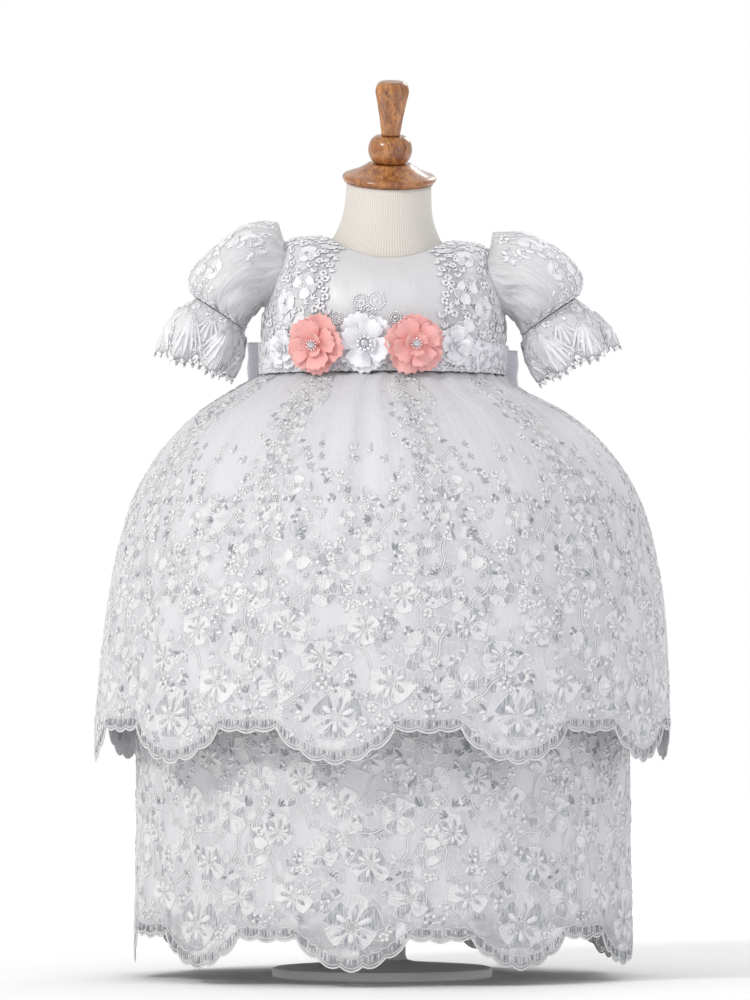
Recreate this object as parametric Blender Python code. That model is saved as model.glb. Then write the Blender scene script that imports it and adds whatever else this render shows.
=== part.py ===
"""Christening gown of white corded lace, worn by a child's jersey-covered dress form on its stand.

Units are metres, +Z is up, the front of the gown looks along -Y, and the origin is on the floor
under the stand. Angles run round the figure from the centre front (0) through +X (90) to the
centre back (180). Every cloth piece is a thin wall between an outer and an inner grid of points.
"""

import math
from collections import namedtuple

import bpy
import numpy as np
from mathutils import Matrix

# Cloth walls, and the clearance between pieces that are sewn together or lie on each other.
CLOTH = 0.0013
THIN_CLOTH = 0.0011
SEAM = 0.0003
HALF_SEAM_ANGLE = 0.0035

# The stand: a weighted plate with a socket, and the pole that carries the form.
BASE_RADIUS = 0.090
BASE_EDGE = 0.006
BASE_THICK = 0.008
SOCKET_RADIUS = 0.019
SOCKET_TOP = 0.026
POLE_RADIUS = 0.011
FORM_BOTTOM = 0.300

# The neck of the form leans forward, and so does the turned cap on it. From the waist up the
# whole figure leans a little to its own left, which drops that shoulder.
NECK_TILT = math.radians(14.5)
NECK_TOP_HEIGHT = 0.6505
NECK_TOP_Y = -0.006
NECK_TOP_RADIUS = 0.0350
SIDE_LEAN = math.radians(2.0)
WAIST_HEIGHT = 0.4920
LEAN_BLEND = 0.060

# Rings of the torso from the waist seam (row 0) to the neck edge (row 7). Front, side and back
# are the heights that a ring has at the centre front, at the sides and at the centre back.
TorsoRing = namedtuple("TorsoRing", "half_width half_depth centre_y front side back ease")
TORSO = [
    TorsoRing(0.0975, 0.0750, 0.000, 0.4920, 0.4920, 0.4920, 0.0045),
    TorsoRing(0.0990, 0.0770, 0.000, 0.5200, 0.5150, 0.5200, 0.0040),
    TorsoRing(0.0985, 0.0760, 0.000, 0.5460, 0.5370, 0.5480, 0.0036),
    TorsoRing(0.0955, 0.0695, 0.001, 0.5660, 0.5640, 0.5710, 0.0030),
    TorsoRing(0.0900, 0.0590, 0.003, 0.5770, 0.5850, 0.5870, 0.0026),
    TorsoRing(0.0830, 0.0490, 0.004, 0.5820, 0.5985, 0.5970, 0.0026),
    TorsoRing(0.0670, 0.0425, 0.003, 0.5845, 0.6025, 0.6020, 0.0024),
    TorsoRing(0.0490, 0.0380, 0.002, 0.5865, 0.6035, 0.6045, 0.0013),
]
# Rings of the form below the waist, with its base rounded in.
FormRing = namedtuple("FormRing", "height half_width half_depth")
FORM_BELOW = [
    FormRing(FORM_BOTTOM, 0.070, 0.054),
    FormRing(0.306, 0.082, 0.064),
    FormRing(0.332, 0.0915, 0.071),
    FormRing(0.390, 0.0945, 0.073),
    FormRing(0.450, 0.0925, 0.071),
]
# Rings of the neck: the front is lower than the middle by the slope, and the back is higher.
NeckRing = namedtuple("NeckRing", "half_width half_depth centre_y middle slope")
NECK = [
    NeckRing(0.0415, 0.0350, 0.001, 0.6100, 0.0120),
    NeckRing(0.0365, 0.0345, -0.002, 0.6265, 0.0105),
]
FORM_SIDES = 28

# The armhole is an oval on the torso, centred on the side, in rows and in degrees.
ARMHOLE_LOW_ROW = 2.3
ARMHOLE_TOP_ROW = 5.0
ARMHOLE_HALF_ANGLE = math.radians(25.0)
ARMHOLE_STEPS = 8
BELOW_ARMHOLE_STEPS = 3
SHOULDER_STEPS = 3

PLAIN_COLUMNS = 6
LACE_COLUMNS = 4
BACK_COLUMNS = 6
# Rows at the middle of the front and of each back, one for each point down the side edge. They
# spread wider than the armhole, so that its edge is met from below and from above.
MIDDLE_ROWS = (0.0, 0.4, 0.8, 1.2, 1.7, 2.4, 3.1, 3.7, 4.3, 4.9, 5.4, 5.8, 6.2, 6.6, 7.0)
# Where the lace overlays end on the front, in degrees from the centre, by row.
LACE_EDGE = (27.0, 27.0, 29.0, 31.0, 31.0, 33.0, 37.0, 42.0)

# Sash: a satin ribbon over the lace round the lower bodice, tied in a bow at the back.
SASH_ROWS = (0.10, 0.60, 1.10)
SASH_LIFT = 0.0022
SASH_THICK = 0.0011
SASH_SIDES = 40

# Skirt rings from the waist down. The last height is that of the notches between scallops.
SkirtRing = namedtuple("SkirtRing", "height half_width half_depth shift gather fold")
UPPER_TIER = [
    SkirtRing(0.4915, 0.0995, 0.0772, 0.0, 0.0018, 0.0),
    SkirtRing(0.4800, 0.1160, 0.0980, -0.004, 0.0022, 0.2),
    SkirtRing(0.4570, 0.1540, 0.1370, -0.001, 0.0020, 0.5),
    SkirtRing(0.4250, 0.1850, 0.1650, 0.001, 0.0013, 0.9),
    SkirtRing(0.3780, 0.2100, 0.1860, 0.002, 0.0007, 1.0),
    SkirtRing(0.3050, 0.2260, 0.2010, 0.002, 0.0003, 0.9),
    SkirtRing(0.2060, 0.2340, 0.2085, -0.0006, 0.0, 0.8),
]
LOWER_TIER = [
    SkirtRing(0.2750, 0.1983, 0.1743, 0.0, 0.0, 0.0),
    SkirtRing(0.2150, 0.2005, 0.1765, 0.0, 0.0, 0.4),
    SkirtRing(0.1250, 0.2000, 0.1760, 0.0, 0.0, 0.8),
    SkirtRing(0.0400, 0.2010, 0.1770, 0.0, 0.0, 1.0),
]
LINING = [
    SkirtRing(0.4915, 0.0975, 0.0752, 0.0, 0.0, 0.0),
    SkirtRing(0.4800, 0.1060, 0.0890, 0.0, 0.0, 0.0),
    SkirtRing(0.4570, 0.1430, 0.1260, 0.0, 0.0, 0.0),
    SkirtRing(0.4250, 0.1690, 0.1490, 0.0, 0.0, 0.0),
    SkirtRing(0.3780, 0.1880, 0.1650, 0.0, 0.0, 0.0),
    SkirtRing(0.2750, 0.1965, 0.1725, 0.0, 0.0, 0.0),
    SkirtRing(0.0520, 0.1970, 0.1730, 0.0, 0.0, 0.0),
]
UPPER_REPEATS = 10
LOWER_REPEATS = 9
UPPER_SCALLOP_CENTRE = math.radians(-9.0)
LOWER_SCALLOP_CENTRE = math.radians(-7.0)
UPPER_COLUMNS = 14
LOWER_COLUMNS = 12
LINING_COLUMNS = 48
BIG_SCALLOP_SHARE = 0.64
BIG_SCALLOP_DROP = 0.029
SMALL_SCALLOP_DROP = 0.004
UPPER_GATHERS = 35

# The largest soft folds of each tier: where they run, how wide and how high they stand, and how
# far they drift round on their way down.
Fold = namedtuple("Fold", "angle width height drift")
UPPER_FOLDS = [
    Fold(-66, 10, 0.0045, -6),
    Fold(-38, 8, 0.0050, -9),
    Fold(-17, 7, 0.0035, -4),
    Fold(5, 7, 0.0030, 0),
    Fold(24, 8, 0.0045, 7),
    Fold(47, 9, 0.0050, 8),
    Fold(74, 10, 0.0040, 5),
    Fold(105, 9, 0.0045, 4),
    Fold(133, 9, 0.0050, 3),
    Fold(160, 8, 0.0040, 2),
    Fold(-170, 8, 0.0040, -2),
    Fold(-142, 9, 0.0050, -3),
    Fold(-112, 9, 0.0045, -4),
]
LOWER_FOLDS = [
    Fold(-72, 9, 0.0050, -2),
    Fold(-40, 11, 0.0030, 2),
    Fold(-12, 12, 0.0025, 0),
    Fold(18, 11, 0.0030, 2),
    Fold(50, 10, 0.0040, 3),
    Fold(80, 9, 0.0050, -1),
    Fold(116, 11, 0.0040, 2),
    Fold(150, 11, 0.0045, 0),
    Fold(-165, 11, 0.0040, 1),
    Fold(-128, 11, 0.0045, -2),
    Fold(-100, 9, 0.0040, 0),
]

# Sleeves. Each row is a ring that hangs between an outer and an inner point of the front view.
PuffRing = namedtuple("PuffRing", "outer_x outer_z inner_x inner_z half_depth gather")
LEFT_PUFF = [
    PuffRing(-0.0860, 0.6165, -0.1035, 0.5440, 0.0330, 0.0010),
    PuffRing(-0.1110, 0.6150, -0.1065, 0.5415, 0.0430, 0.0006),
    PuffRing(-0.1350, 0.5995, -0.1090, 0.5385, 0.0470, 0.0004),
    PuffRing(-0.1530, 0.5810, -0.1110, 0.5355, 0.0440, 0.0006),
    PuffRing(-0.1580, 0.5650, -0.1125, 0.5325, 0.0350, 0.0010),
    PuffRing(-0.1525, 0.5555, -0.1135, 0.5295, 0.0270, 0.0012),
]
RIGHT_PUFF = [
    PuffRing(0.0910, 0.6080, 0.1060, 0.5400, 0.0330, 0.0010),
    PuffRing(0.1160, 0.6085, 0.1085, 0.5375, 0.0430, 0.0006),
    PuffRing(0.1400, 0.5985, 0.1105, 0.5345, 0.0470, 0.0004),
    PuffRing(0.1580, 0.5815, 0.1125, 0.5315, 0.0440, 0.0006),
    PuffRing(0.1635, 0.5660, 0.1140, 0.5285, 0.0350, 0.0010),
    PuffRing(0.1580, 0.5555, 0.1150, 0.5255, 0.0270, 0.0012),
]
SLEEVE_SIDES = 32
SLEEVE_GATHERS = 8
SLEEVE_HEAD = 0.0030
LEFT_FRILL = [
    PuffRing(-0.1528, 0.5551, -0.1138, 0.5291, 0.0272, 0.0),
    PuffRing(-0.1675, 0.5440, -0.1140, 0.5220, 0.0320, 0.0016),
    PuffRing(-0.1760, 0.5260, -0.1190, 0.5050, 0.0345, 0.0034),
    PuffRing(-0.1815, 0.5080, -0.1285, 0.4890, 0.0360, 0.0050),
]
RIGHT_FRILL = [
    PuffRing(0.1583, 0.5551, 0.1153, 0.5251, 0.0272, 0.0),
    PuffRing(0.1760, 0.5400, 0.1165, 0.5175, 0.0330, 0.0016),
    PuffRing(0.1850, 0.5270, 0.1235, 0.5010, 0.0360, 0.0034),
    PuffRing(0.1905, 0.5130, 0.1345, 0.4860, 0.0375, 0.0050),
]
FRILL_SIDES = 36
FRILL_WAVES = 6
FRILL_TIP = 0.0050

# Flowers on the sash: the centre of each across the front, its height, radius and how far its
# foot holds it off the sash.
Flower = namedtuple("Flower", "name across height radius foot stone colour")
FLOWERS = [
    Flower("flower_white_far_left", -0.0775, 0.5135, 0.0160, 0.0008, 0.0034, "petal_white"),
    Flower("flower_pink_left", -0.0500, 0.5145, 0.0240, 0.0085, 0.0046, "petal_pink"),
    Flower("flower_white_middle", -0.0140, 0.5150, 0.0240, 0.0008, 0.0068, "petal_white"),
    Flower("flower_pink_right", 0.0230, 0.5155, 0.0240, 0.0085, 0.0046, "petal_pink"),
    Flower("flower_white_far_right", 0.0555, 0.5160, 0.0160, 0.0008, 0.0034, "petal_white"),
]
FULL_FLOWER = 0.0240
PETALS = 5
PETAL_COLUMNS = 4
STONE_SIDES = 12

# Bow at the back of the sash.
BOW_HEIGHT = 0.5080
KNOT_HALF_WIDTH = 0.0110
KNOT_HALF_HEIGHT = 0.0125
KNOT_DEPTH = 0.0110
LOOP_REACH = 0.1120
LOOP_RIBBON = 0.0340
LOOP_DROOP = {"left": 0.001, "right": 0.008}
LOOP_SWEEP = 0.0300
LOOP_OPEN = 0.0095
LOOP_POINTS = 14
TAIL_HEIGHTS = (0.4932, 0.4870, 0.4800, 0.4570, 0.4250, 0.4000, 0.3780, 0.3450)
TAIL_SLANT = 0.012

# Colours are linear RGB, read by eye from the photograph.
Finish = namedtuple("Finish", "colour roughness metallic")
FINISHES = {
    "lace_white": Finish((0.80, 0.80, 0.83), 0.75, 0.0),
    "satin_white": Finish((0.86, 0.86, 0.87), 0.45, 0.0),
    "organza_white": Finish((0.78, 0.78, 0.80), 0.55, 0.0),
    "ribbon_white": Finish((0.74, 0.73, 0.80), 0.45, 0.0),
    "lining_white": Finish((0.72, 0.71, 0.72), 0.80, 0.0),
    "petal_white": Finish((0.85, 0.85, 0.88), 0.60, 0.0),
    "petal_pink": Finish((0.90, 0.42, 0.38), 0.65, 0.0),
    "rhinestone": Finish((0.70, 0.72, 0.74), 0.10, 0.6),
    "jersey_cream": Finish((0.72, 0.67, 0.60), 0.90, 0.0),
    "turned_wood": Finish((0.42, 0.18, 0.06), 0.35, 0.0),
    "stand_white": Finish((0.75, 0.74, 0.72), 0.45, 0.0),
}


def clear_scene():
    for obj in list(bpy.data.objects):
        bpy.data.objects.remove(obj)


def material(name):
    """The finish of that name as a Principled material, made once."""
    made = bpy.data.materials.get(name)
    if made is None:
        made = bpy.data.materials.new(name)
        made.use_nodes = True
        shader = made.node_tree.nodes["Principled BSDF"]
        finish = FINISHES[name]
        shader.inputs["Base Color"].default_value = (*finish.colour, 1.0)
        shader.inputs["Roughness"].default_value = finish.roughness
        shader.inputs["Metallic"].default_value = finish.metallic
        made.diffuse_color = (*finish.colour, 1.0)
    return made


def signed_volume(points, faces):
    a, b, c = (points[faces[:, i]] for i in range(3))
    return float(np.einsum("ij,ij->i", a, np.cross(b, c)).sum())


def add_solid(name, points, faces, finish, location=(0, 0, 0), lean=None):
    """One closed piece: its triangles are turned to face outwards before it is linked."""
    points = np.asarray(points, float)
    faces = np.asarray(faces, int)
    if signed_volume(points, faces) < 0:
        faces = faces[:, ::-1]
    mesh = bpy.data.meshes.new(name)
    mesh.from_pydata(points.tolist(), [], faces.tolist())
    mesh.materials.append(material(finish))
    mesh.shade_smooth()
    mesh.set_sharp_from_angle(angle=math.radians(50))
    obj = bpy.data.objects.new(name, mesh)
    obj.location = location
    if lean is not None:
        obj.rotation_euler = lean.to_euler()
    bpy.context.scene.collection.objects.link(obj)
    return obj


def strip(first, second, closed):
    """Triangles between two rows of point numbers."""
    count = len(first)
    faces = []
    for i in range(count if closed else count - 1):
        j = (i + 1) % count
        faces.append((first[i], first[j], second[j]))
        faces.append((first[i], second[j], second[i]))
    return faces


def wall_solid(name, outer, inner, finish, closed):
    """A cloth wall between two grids of points, rows by columns, closed round if it is a tube."""
    rows, columns = outer.shape[:2]
    points = np.concatenate([outer.reshape(-1, 3), inner.reshape(-1, 3)])
    number = np.arange(rows * columns).reshape(rows, columns)
    inside = number + rows * columns
    faces = []
    for i in range(rows - 1):
        faces += strip(number[i], number[i + 1], closed)
        faces += strip(inside[i], inside[i + 1], closed)
    faces += strip(inside[0], number[0], closed)
    faces += strip(number[-1], inside[-1], closed)
    if not closed:
        faces += strip(number[:, 0], inside[:, 0], False)
        faces += strip(inside[:, -1], number[:, -1], False)
    faces = turned_right(np.array(faces))
    return add_solid(name, points, faces, finish)


def turned_right(faces):
    """Makes neighbouring triangles agree, by walking from each one to those that share its edges."""
    sides = {}
    for k, face in enumerate(faces):
        for i in range(3):
            a, b = int(face[i]), int(face[(i + 1) % 3])
            sides.setdefault((min(a, b), max(a, b)), []).append(k)
    done = np.zeros(len(faces), bool)
    flip = np.zeros(len(faces), bool)
    done[0] = True
    waiting = [0]
    while waiting:
        k = waiting.pop()
        face = faces[k][::-1] if flip[k] else faces[k]
        for i in range(3):
            a, b = int(face[i]), int(face[(i + 1) % 3])
            for other in sides[(min(a, b), max(a, b))]:
                if not done[other]:
                    three = [int(x) for x in faces[other]]
                    same_way = any(
                        three[j] == a and three[(j + 1) % 3] == b for j in range(3)
                    )
                    flip[other] = same_way
                    done[other] = True
                    waiting.append(other)
    faces = faces.copy()
    faces[flip] = faces[flip][:, ::-1]
    return faces


def smooth_rows(values, at):
    """Rows of a table between its rows: a Catmull-Rom curve through them, at row numbers."""
    values = np.asarray(values, float)
    at = np.clip(np.asarray(at, float), 0, len(values) - 1)
    low = np.minimum(at.astype(int), len(values) - 2)
    part = (at - low)[..., None]
    before = values[np.maximum(low - 1, 0)]
    start = values[low]
    end = values[low + 1]
    after = values[np.minimum(low + 2, len(values) - 1)]
    return 0.5 * (
        2 * start
        + (end - before) * part
        + (2 * before - 5 * start + 4 * end - after) * part**2
        + (3 * start - before - 3 * end + after) * part**3
    )


def leaned(points):
    """The figure's lean to the side, which grows from nothing at the waist."""
    above = np.clip(points[..., 2] - WAIST_HEIGHT, 0, None)
    share = np.clip(above / LEAN_BLEND, 0, 1)
    share = share * share * (3 - 2 * share)
    moved = np.array(points, float)
    moved[..., 0] += above * math.sin(SIDE_LEAN)
    moved[..., 2] -= points[..., 0] * math.sin(SIDE_LEAN) * share
    return moved


def torso_surface(angle, row):
    """Points of the bodice's outer surface."""
    angle, row = np.broadcast_arrays(np.asarray(angle, float), np.asarray(row, float))
    table = smooth_rows([ring[:6] for ring in TORSO], row)
    width, depth, centre_y, front, side, back = np.moveaxis(table, -1, 0)
    facing = np.cos(angle)
    end = np.where(facing >= 0, front, back)
    height = side + (end - side) * facing**2
    flat = np.stack([width * np.sin(angle), centre_y - depth * facing, height], axis=-1)
    return leaned(flat)


def unit(vectors):
    return vectors / np.maximum(np.linalg.norm(vectors, axis=-1, keepdims=True), 1e-12)


def torso_normal(angle, row):
    """Outward direction of the torso surface."""
    step = 1e-3
    round_it = torso_surface(angle + step, row) - torso_surface(angle - step, row)
    low = np.clip(row - 0.02, 0, len(TORSO) - 1)
    high = np.clip(row + 0.02, 0, len(TORSO) - 1)
    up = torso_surface(angle, high) - torso_surface(angle, low)
    return unit(np.cross(round_it, up))


def torso_moved(angle, row, out):
    return torso_surface(angle, row) + torso_normal(angle, row) * np.asarray(out)[..., None]


def armhole_edge(turn):
    """Angle and row of the armhole's edge, from its top (0) round the front to its bottom (pi)."""
    middle = (ARMHOLE_LOW_ROW + ARMHOLE_TOP_ROW) / 2
    half = (ARMHOLE_TOP_ROW - ARMHOLE_LOW_ROW) / 2
    return math.pi / 2 - ARMHOLE_HALF_ANGLE * np.sin(turn), middle + half * np.cos(turn)


def side_edge():
    """Angle and row down a front panel's side edge: side seam, armhole and shoulder seam."""
    hole_angle, hole_row = armhole_edge(np.linspace(math.pi, 0, ARMHOLE_STEPS + 1))
    below = np.linspace(0, ARMHOLE_LOW_ROW, BELOW_ARMHOLE_STEPS + 1)[:-1]
    above = np.linspace(ARMHOLE_TOP_ROW, len(TORSO) - 1, SHOULDER_STEPS + 1)[1:]
    row = np.concatenate([below, hole_row, above])
    seam = math.pi / 2
    angle = np.concatenate([np.full(len(below), seam), hole_angle, np.full(len(above), seam)])
    return angle, row


def front_grid():
    """Angles and rows of the front: plain columns between the lace edges, lace columns beside them."""
    edge_angle, edge_row = side_edge()
    edge_angle = edge_angle - HALF_SEAM_ANGLE
    centre_row = np.array(MIDDLE_ROWS)
    lace = np.radians(np.interp(centre_row, range(len(LACE_EDGE)), LACE_EDGE))
    lace = np.minimum(lace, edge_angle - math.radians(10))
    plain = np.linspace(-1, 1, PLAIN_COLUMNS + 1)[None, :] * lace[:, None]
    share = np.linspace(0, 1, LACE_COLUMNS + 1)[None, 1:]
    beside = lace[:, None] + (edge_angle - lace)[:, None] * share
    angle = np.concatenate([-beside[:, ::-1], plain, beside], axis=1)
    toward_edge = (np.abs(angle) / edge_angle[:, None]) ** 2
    row = centre_row[:, None] + (edge_row - centre_row)[:, None] * toward_edge
    return angle, row


def back_grid():
    """Angles and rows of the back panel on the +X side, from its side edge to the centre back."""
    edge_angle, edge_row = side_edge()
    edge_angle = math.pi - edge_angle + HALF_SEAM_ANGLE
    centre = math.pi - HALF_SEAM_ANGLE
    centre_row = np.array(MIDDLE_ROWS)
    share = np.linspace(0, 1, BACK_COLUMNS + 1)[None, :]
    angle = edge_angle[:, None] + (centre - edge_angle)[:, None] * share
    toward_edge = (1 - share) ** 2
    row = centre_row[:, None] + (edge_row - centre_row)[:, None] * toward_edge
    return angle, row


def torso_wall(name, angle, row, finish, lift=0.0, thick=CLOTH):
    outer = torso_moved(angle, row, np.full(angle.shape, lift))
    inner = torso_moved(angle, row, np.full(angle.shape, lift - thick))
    wall_solid(name, outer, inner, finish, closed=False)


def make_bodice():
    """The front with its two lace overlays, which are its own points moved out, and the two backs."""
    angle, row = front_grid()
    torso_wall("bodice_front", angle, row, "satin_white")
    lift = SEAM + THIN_CLOTH
    left = slice(0, LACE_COLUMNS + 1)
    right = slice(-LACE_COLUMNS - 1, None)
    torso_wall("bodice_lace_left", angle[:, left], row[:, left], "lace_white", lift, THIN_CLOTH)
    torso_wall("bodice_lace_right", angle[:, right], row[:, right], "lace_white", lift, THIN_CLOTH)
    angle, row = back_grid()
    torso_wall("bodice_back_right", angle, row, "lace_white")
    torso_wall("bodice_back_left", -angle, row, "lace_white")


def make_sash():
    angle = np.linspace(0, 2 * math.pi, SASH_SIDES, endpoint=False)
    rows = np.array(SASH_ROWS)
    angle, row = np.broadcast_arrays(angle[None, :], rows[:, None])
    inner = torso_moved(angle, row, np.full(angle.shape, SASH_LIFT))
    outer = torso_moved(angle, row, np.full(angle.shape, SASH_LIFT + SASH_THICK))
    wall_solid("sash", outer, inner, "ribbon_white", closed=True)


def stacked_solid(name, rings, finish, location=(0, 0, 0), lean=None):
    """A solid between flat ends: each ring is joined to the next, and the ends are filled."""
    count = len(rings[0])
    points = np.concatenate([*rings, [np.mean(rings[0], axis=0)], [np.mean(rings[-1], axis=0)]])
    number = np.arange(len(rings) * count).reshape(len(rings), count)
    faces = []
    for i in range(len(rings) - 1):
        faces += strip(number[i], number[i + 1], True)
    bottom, top = len(points) - 2, len(points) - 1
    for i in range(count):
        j = (i + 1) % count
        faces.append((bottom, number[0][j], number[0][i]))
        faces.append((top, number[-1][i], number[-1][j]))
    return add_solid(name, points, faces, finish, location, lean)


def ellipse_ring(angle, half_width, half_depth, centre_y, height, slope=0.0):
    """A ring whose front is lower than its back by twice the slope."""
    return np.stack(
        [
            half_width * np.sin(angle),
            centre_y - half_depth * np.cos(angle),
            height - slope * np.cos(angle),
        ],
        axis=-1,
    )


def make_form():
    angle = np.linspace(0, 2 * math.pi, FORM_SIDES, endpoint=False)
    rings = [
        ellipse_ring(angle, ring.half_width, ring.half_depth, 0.0, ring.height)
        for ring in FORM_BELOW
    ]
    for row in (0.0, 1.0, 2.0, 3.0, 4.0, 5.0, 6.0, 7.0):
        ease = -smooth_rows([[ring.ease + CLOTH] for ring in TORSO], row)[..., 0]
        rings.append(torso_moved(angle, np.full(angle.shape, row), np.full(angle.shape, ease)))
    slope = NECK_TOP_RADIUS * math.tan(NECK_TILT)
    top = NeckRing(NECK_TOP_RADIUS, NECK_TOP_RADIUS, NECK_TOP_Y, NECK_TOP_HEIGHT, slope)
    for ring in (*NECK, top):
        level = ellipse_ring(
            angle, ring.half_width, ring.half_depth, ring.centre_y, ring.middle, ring.slope
        )
        rings.append(leaned(level))
    stacked_solid("dress_form", rings, "jersey_cream")


def turned_rings(profile, sides, start=0.0):
    angle = np.linspace(0, 2 * math.pi, sides, endpoint=False) + start
    return [
        np.stack([r * np.sin(angle), -r * np.cos(angle), np.full(sides, h)], axis=-1)
        for r, h in profile
    ]


def make_neck_cap():
    """The turned disc, ball and eight-sided finial, stacked along the neck's leaning axis."""
    disc = [
        (0.0335, 0.0),
        (0.0375, 0.0014),
        (0.0385, 0.0034),
        (0.0372, 0.0054),
        (0.0310, 0.0080),
        (0.0235, 0.0115),
        (0.0185, 0.0145),
        (0.0150, 0.0160),
    ]
    ball = [
        (0.0125, 0.0163),
        (0.0160, 0.0195),
        (0.0178, 0.0245),
        (0.0178, 0.0290),
        (0.0160, 0.0345),
        (0.0120, 0.0385),
    ]
    finial = [
        (0.0085, 0.0388),
        (0.0150, 0.0760),
        (0.0130, 0.0815),
        (0.0060, 0.0840),
    ]
    lean = Matrix.Rotation(SIDE_LEAN, 3, "Y") @ Matrix.Rotation(NECK_TILT, 3, "X")
    seat = leaned(np.array([0.0, NECK_TOP_Y, NECK_TOP_HEIGHT])) + np.array(lean)[:, 2] * SEAM
    for name, profile, sides, start in (
        ("neck_cap_disc", disc, 24, 0.0),
        ("neck_cap_ball", ball, 16, 0.0),
        ("neck_cap_finial", finial, 8, math.pi / 8),
    ):
        rings = turned_rings(profile, sides, start)
        stacked_solid(name, rings, "turned_wood", tuple(seat), lean)


def make_stand():
    base = [
        (BASE_RADIUS, 0.0),
        (BASE_RADIUS, BASE_EDGE),
        (BASE_RADIUS - 0.003, BASE_THICK),
        (SOCKET_RADIUS, BASE_THICK + 0.005),
        (SOCKET_RADIUS, SOCKET_TOP - 0.002),
        (SOCKET_RADIUS - 0.002, SOCKET_TOP),
    ]
    stacked_solid("stand_base", turned_rings(base, 28), "stand_white")
    pole = [(POLE_RADIUS, SOCKET_TOP + SEAM), (POLE_RADIUS, FORM_BOTTOM - SEAM)]
    stacked_solid("stand_pole", turned_rings(pole, 16), "stand_white")


def scallop_drop(angle, repeats, centre):
    """How far the hem hangs below its notches: a deep scallop, then a shallow one, round and round."""
    place = np.mod((angle - centre) * repeats / (2 * math.pi) + 0.5, 1.0) - 0.5
    half_big = BIG_SCALLOP_SHARE / 2
    inside = np.clip(np.abs(place) / half_big, 0, 1)
    deep = BIG_SCALLOP_DROP * np.cos(inside * math.pi / 2) ** 0.75
    beside = np.clip((np.abs(place) - half_big) / (0.5 - half_big), 0, 1)
    shallow = SMALL_SCALLOP_DROP * np.sin(beside * math.pi / 2)
    return np.where(np.abs(place) < half_big, deep, shallow)


def fold_height(angle, down, folds):
    """The soft folds together: each is a ridge that drifts round as it goes down."""
    total = np.zeros(np.broadcast(angle, down).shape)
    for fold in folds:
        middle = math.radians(fold.angle) + math.radians(fold.drift) * down
        away = np.mod(angle - middle + math.pi, 2 * math.pi) - math.pi
        total = total + fold.height * np.exp(-((away / math.radians(fold.width)) ** 2))
    return total


def gather_height(angle, count):
    """Gathers at the waist: even in number and uneven in place and depth."""
    uneven = angle + 0.030 * np.sin(5 * angle + 1.0) + 0.018 * np.sin(11 * angle)
    return 0.5 + 0.5 * np.cos(count * uneven)


def skirt_wall(name, sections, angle, folds, repeats, centre, finish, gathers=0):
    """A tier or half tier: the outer points carry gathers and folds, and the inner ones the folds."""
    rows = len(sections)
    down = (np.arange(rows) / (rows - 1))[:, None]
    height, width, depth, shift, gather, fold = np.array(sections).T[:, :, None]
    angle = np.broadcast_to(angle[None, :], (rows, len(angle)))
    ridge = fold * fold_height(angle, down, folds)
    drop = np.zeros(angle.shape)
    if repeats:
        drop[-1] = scallop_drop(angle[-1], repeats, centre)

    def grid(out):
        return np.stack(
            [
                shift + (width + out) * np.sin(angle),
                -(depth + out) * np.cos(angle),
                height - drop,
            ],
            axis=-1,
        )

    puff = gather * gather_height(angle, gathers) if gathers else 0.0
    return wall_solid(name, grid(ridge + puff), grid(ridge - CLOTH), finish, closed=False)


def half_angles(middle, columns):
    """Columns of a front or back half, which stops short of the side seams."""
    half = math.pi / 2 - HALF_SEAM_ANGLE / 2
    return middle + np.linspace(-half, half, columns + 1)


def make_skirts():
    for place, middle in (("front", 0.0), ("back", math.pi)):
        upper = half_angles(middle, UPPER_REPEATS * UPPER_COLUMNS // 2)
        skirt_wall(
            f"upper_tier_{place}", UPPER_TIER, upper, UPPER_FOLDS, UPPER_REPEATS,
            UPPER_SCALLOP_CENTRE, "lace_white", gathers=UPPER_GATHERS,
        )
        lower = half_angles(middle, LOWER_REPEATS * LOWER_COLUMNS // 2)
        skirt_wall(
            f"lower_tier_{place}", LOWER_TIER, lower, LOWER_FOLDS, LOWER_REPEATS,
            LOWER_SCALLOP_CENTRE, "lace_white",
        )
        lining = half_angles(middle, LINING_COLUMNS // 2)
        skirt_wall(f"skirt_lining_{place}", LINING, lining, [], 0, 0.0, "lining_white")


def armhole_ring(side, turn, inset, out):
    """The armhole's edge as sewn, corner to corner, drawn in by the inset and moved out."""
    corners = np.linspace(0, 2 * math.pi, 2 * ARMHOLE_STEPS, endpoint=False)
    angle, row = armhole_edge(corners)
    edge = torso_moved(side * angle, row, np.full(corners.shape, out))
    edge = edge + unit(edge.mean(axis=0) - edge) * inset
    ring = [np.interp(turn, corners, edge[:, axis], period=2 * math.pi) for axis in range(3)]
    return np.stack(ring, axis=-1)


def puff_ring(ring, turn, out=0.0):
    """A ring between its outer and inner point, as deep front to back as its half depth."""
    outer = np.array([ring.outer_x, 0, ring.outer_z])
    inner = np.array([ring.inner_x, 0, ring.inner_z])
    middle = (outer + inner) / 2
    reach = (outer - inner) / 2
    long = np.linalg.norm(reach)
    along = reach / long
    out = np.broadcast_to(out, turn.shape)[:, None]
    return (
        middle
        + along * (long + out) * np.cos(turn)[:, None]
        + np.array([0, -1.0, 0]) * (ring.half_depth + out) * np.sin(turn)[:, None]
    )


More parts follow.
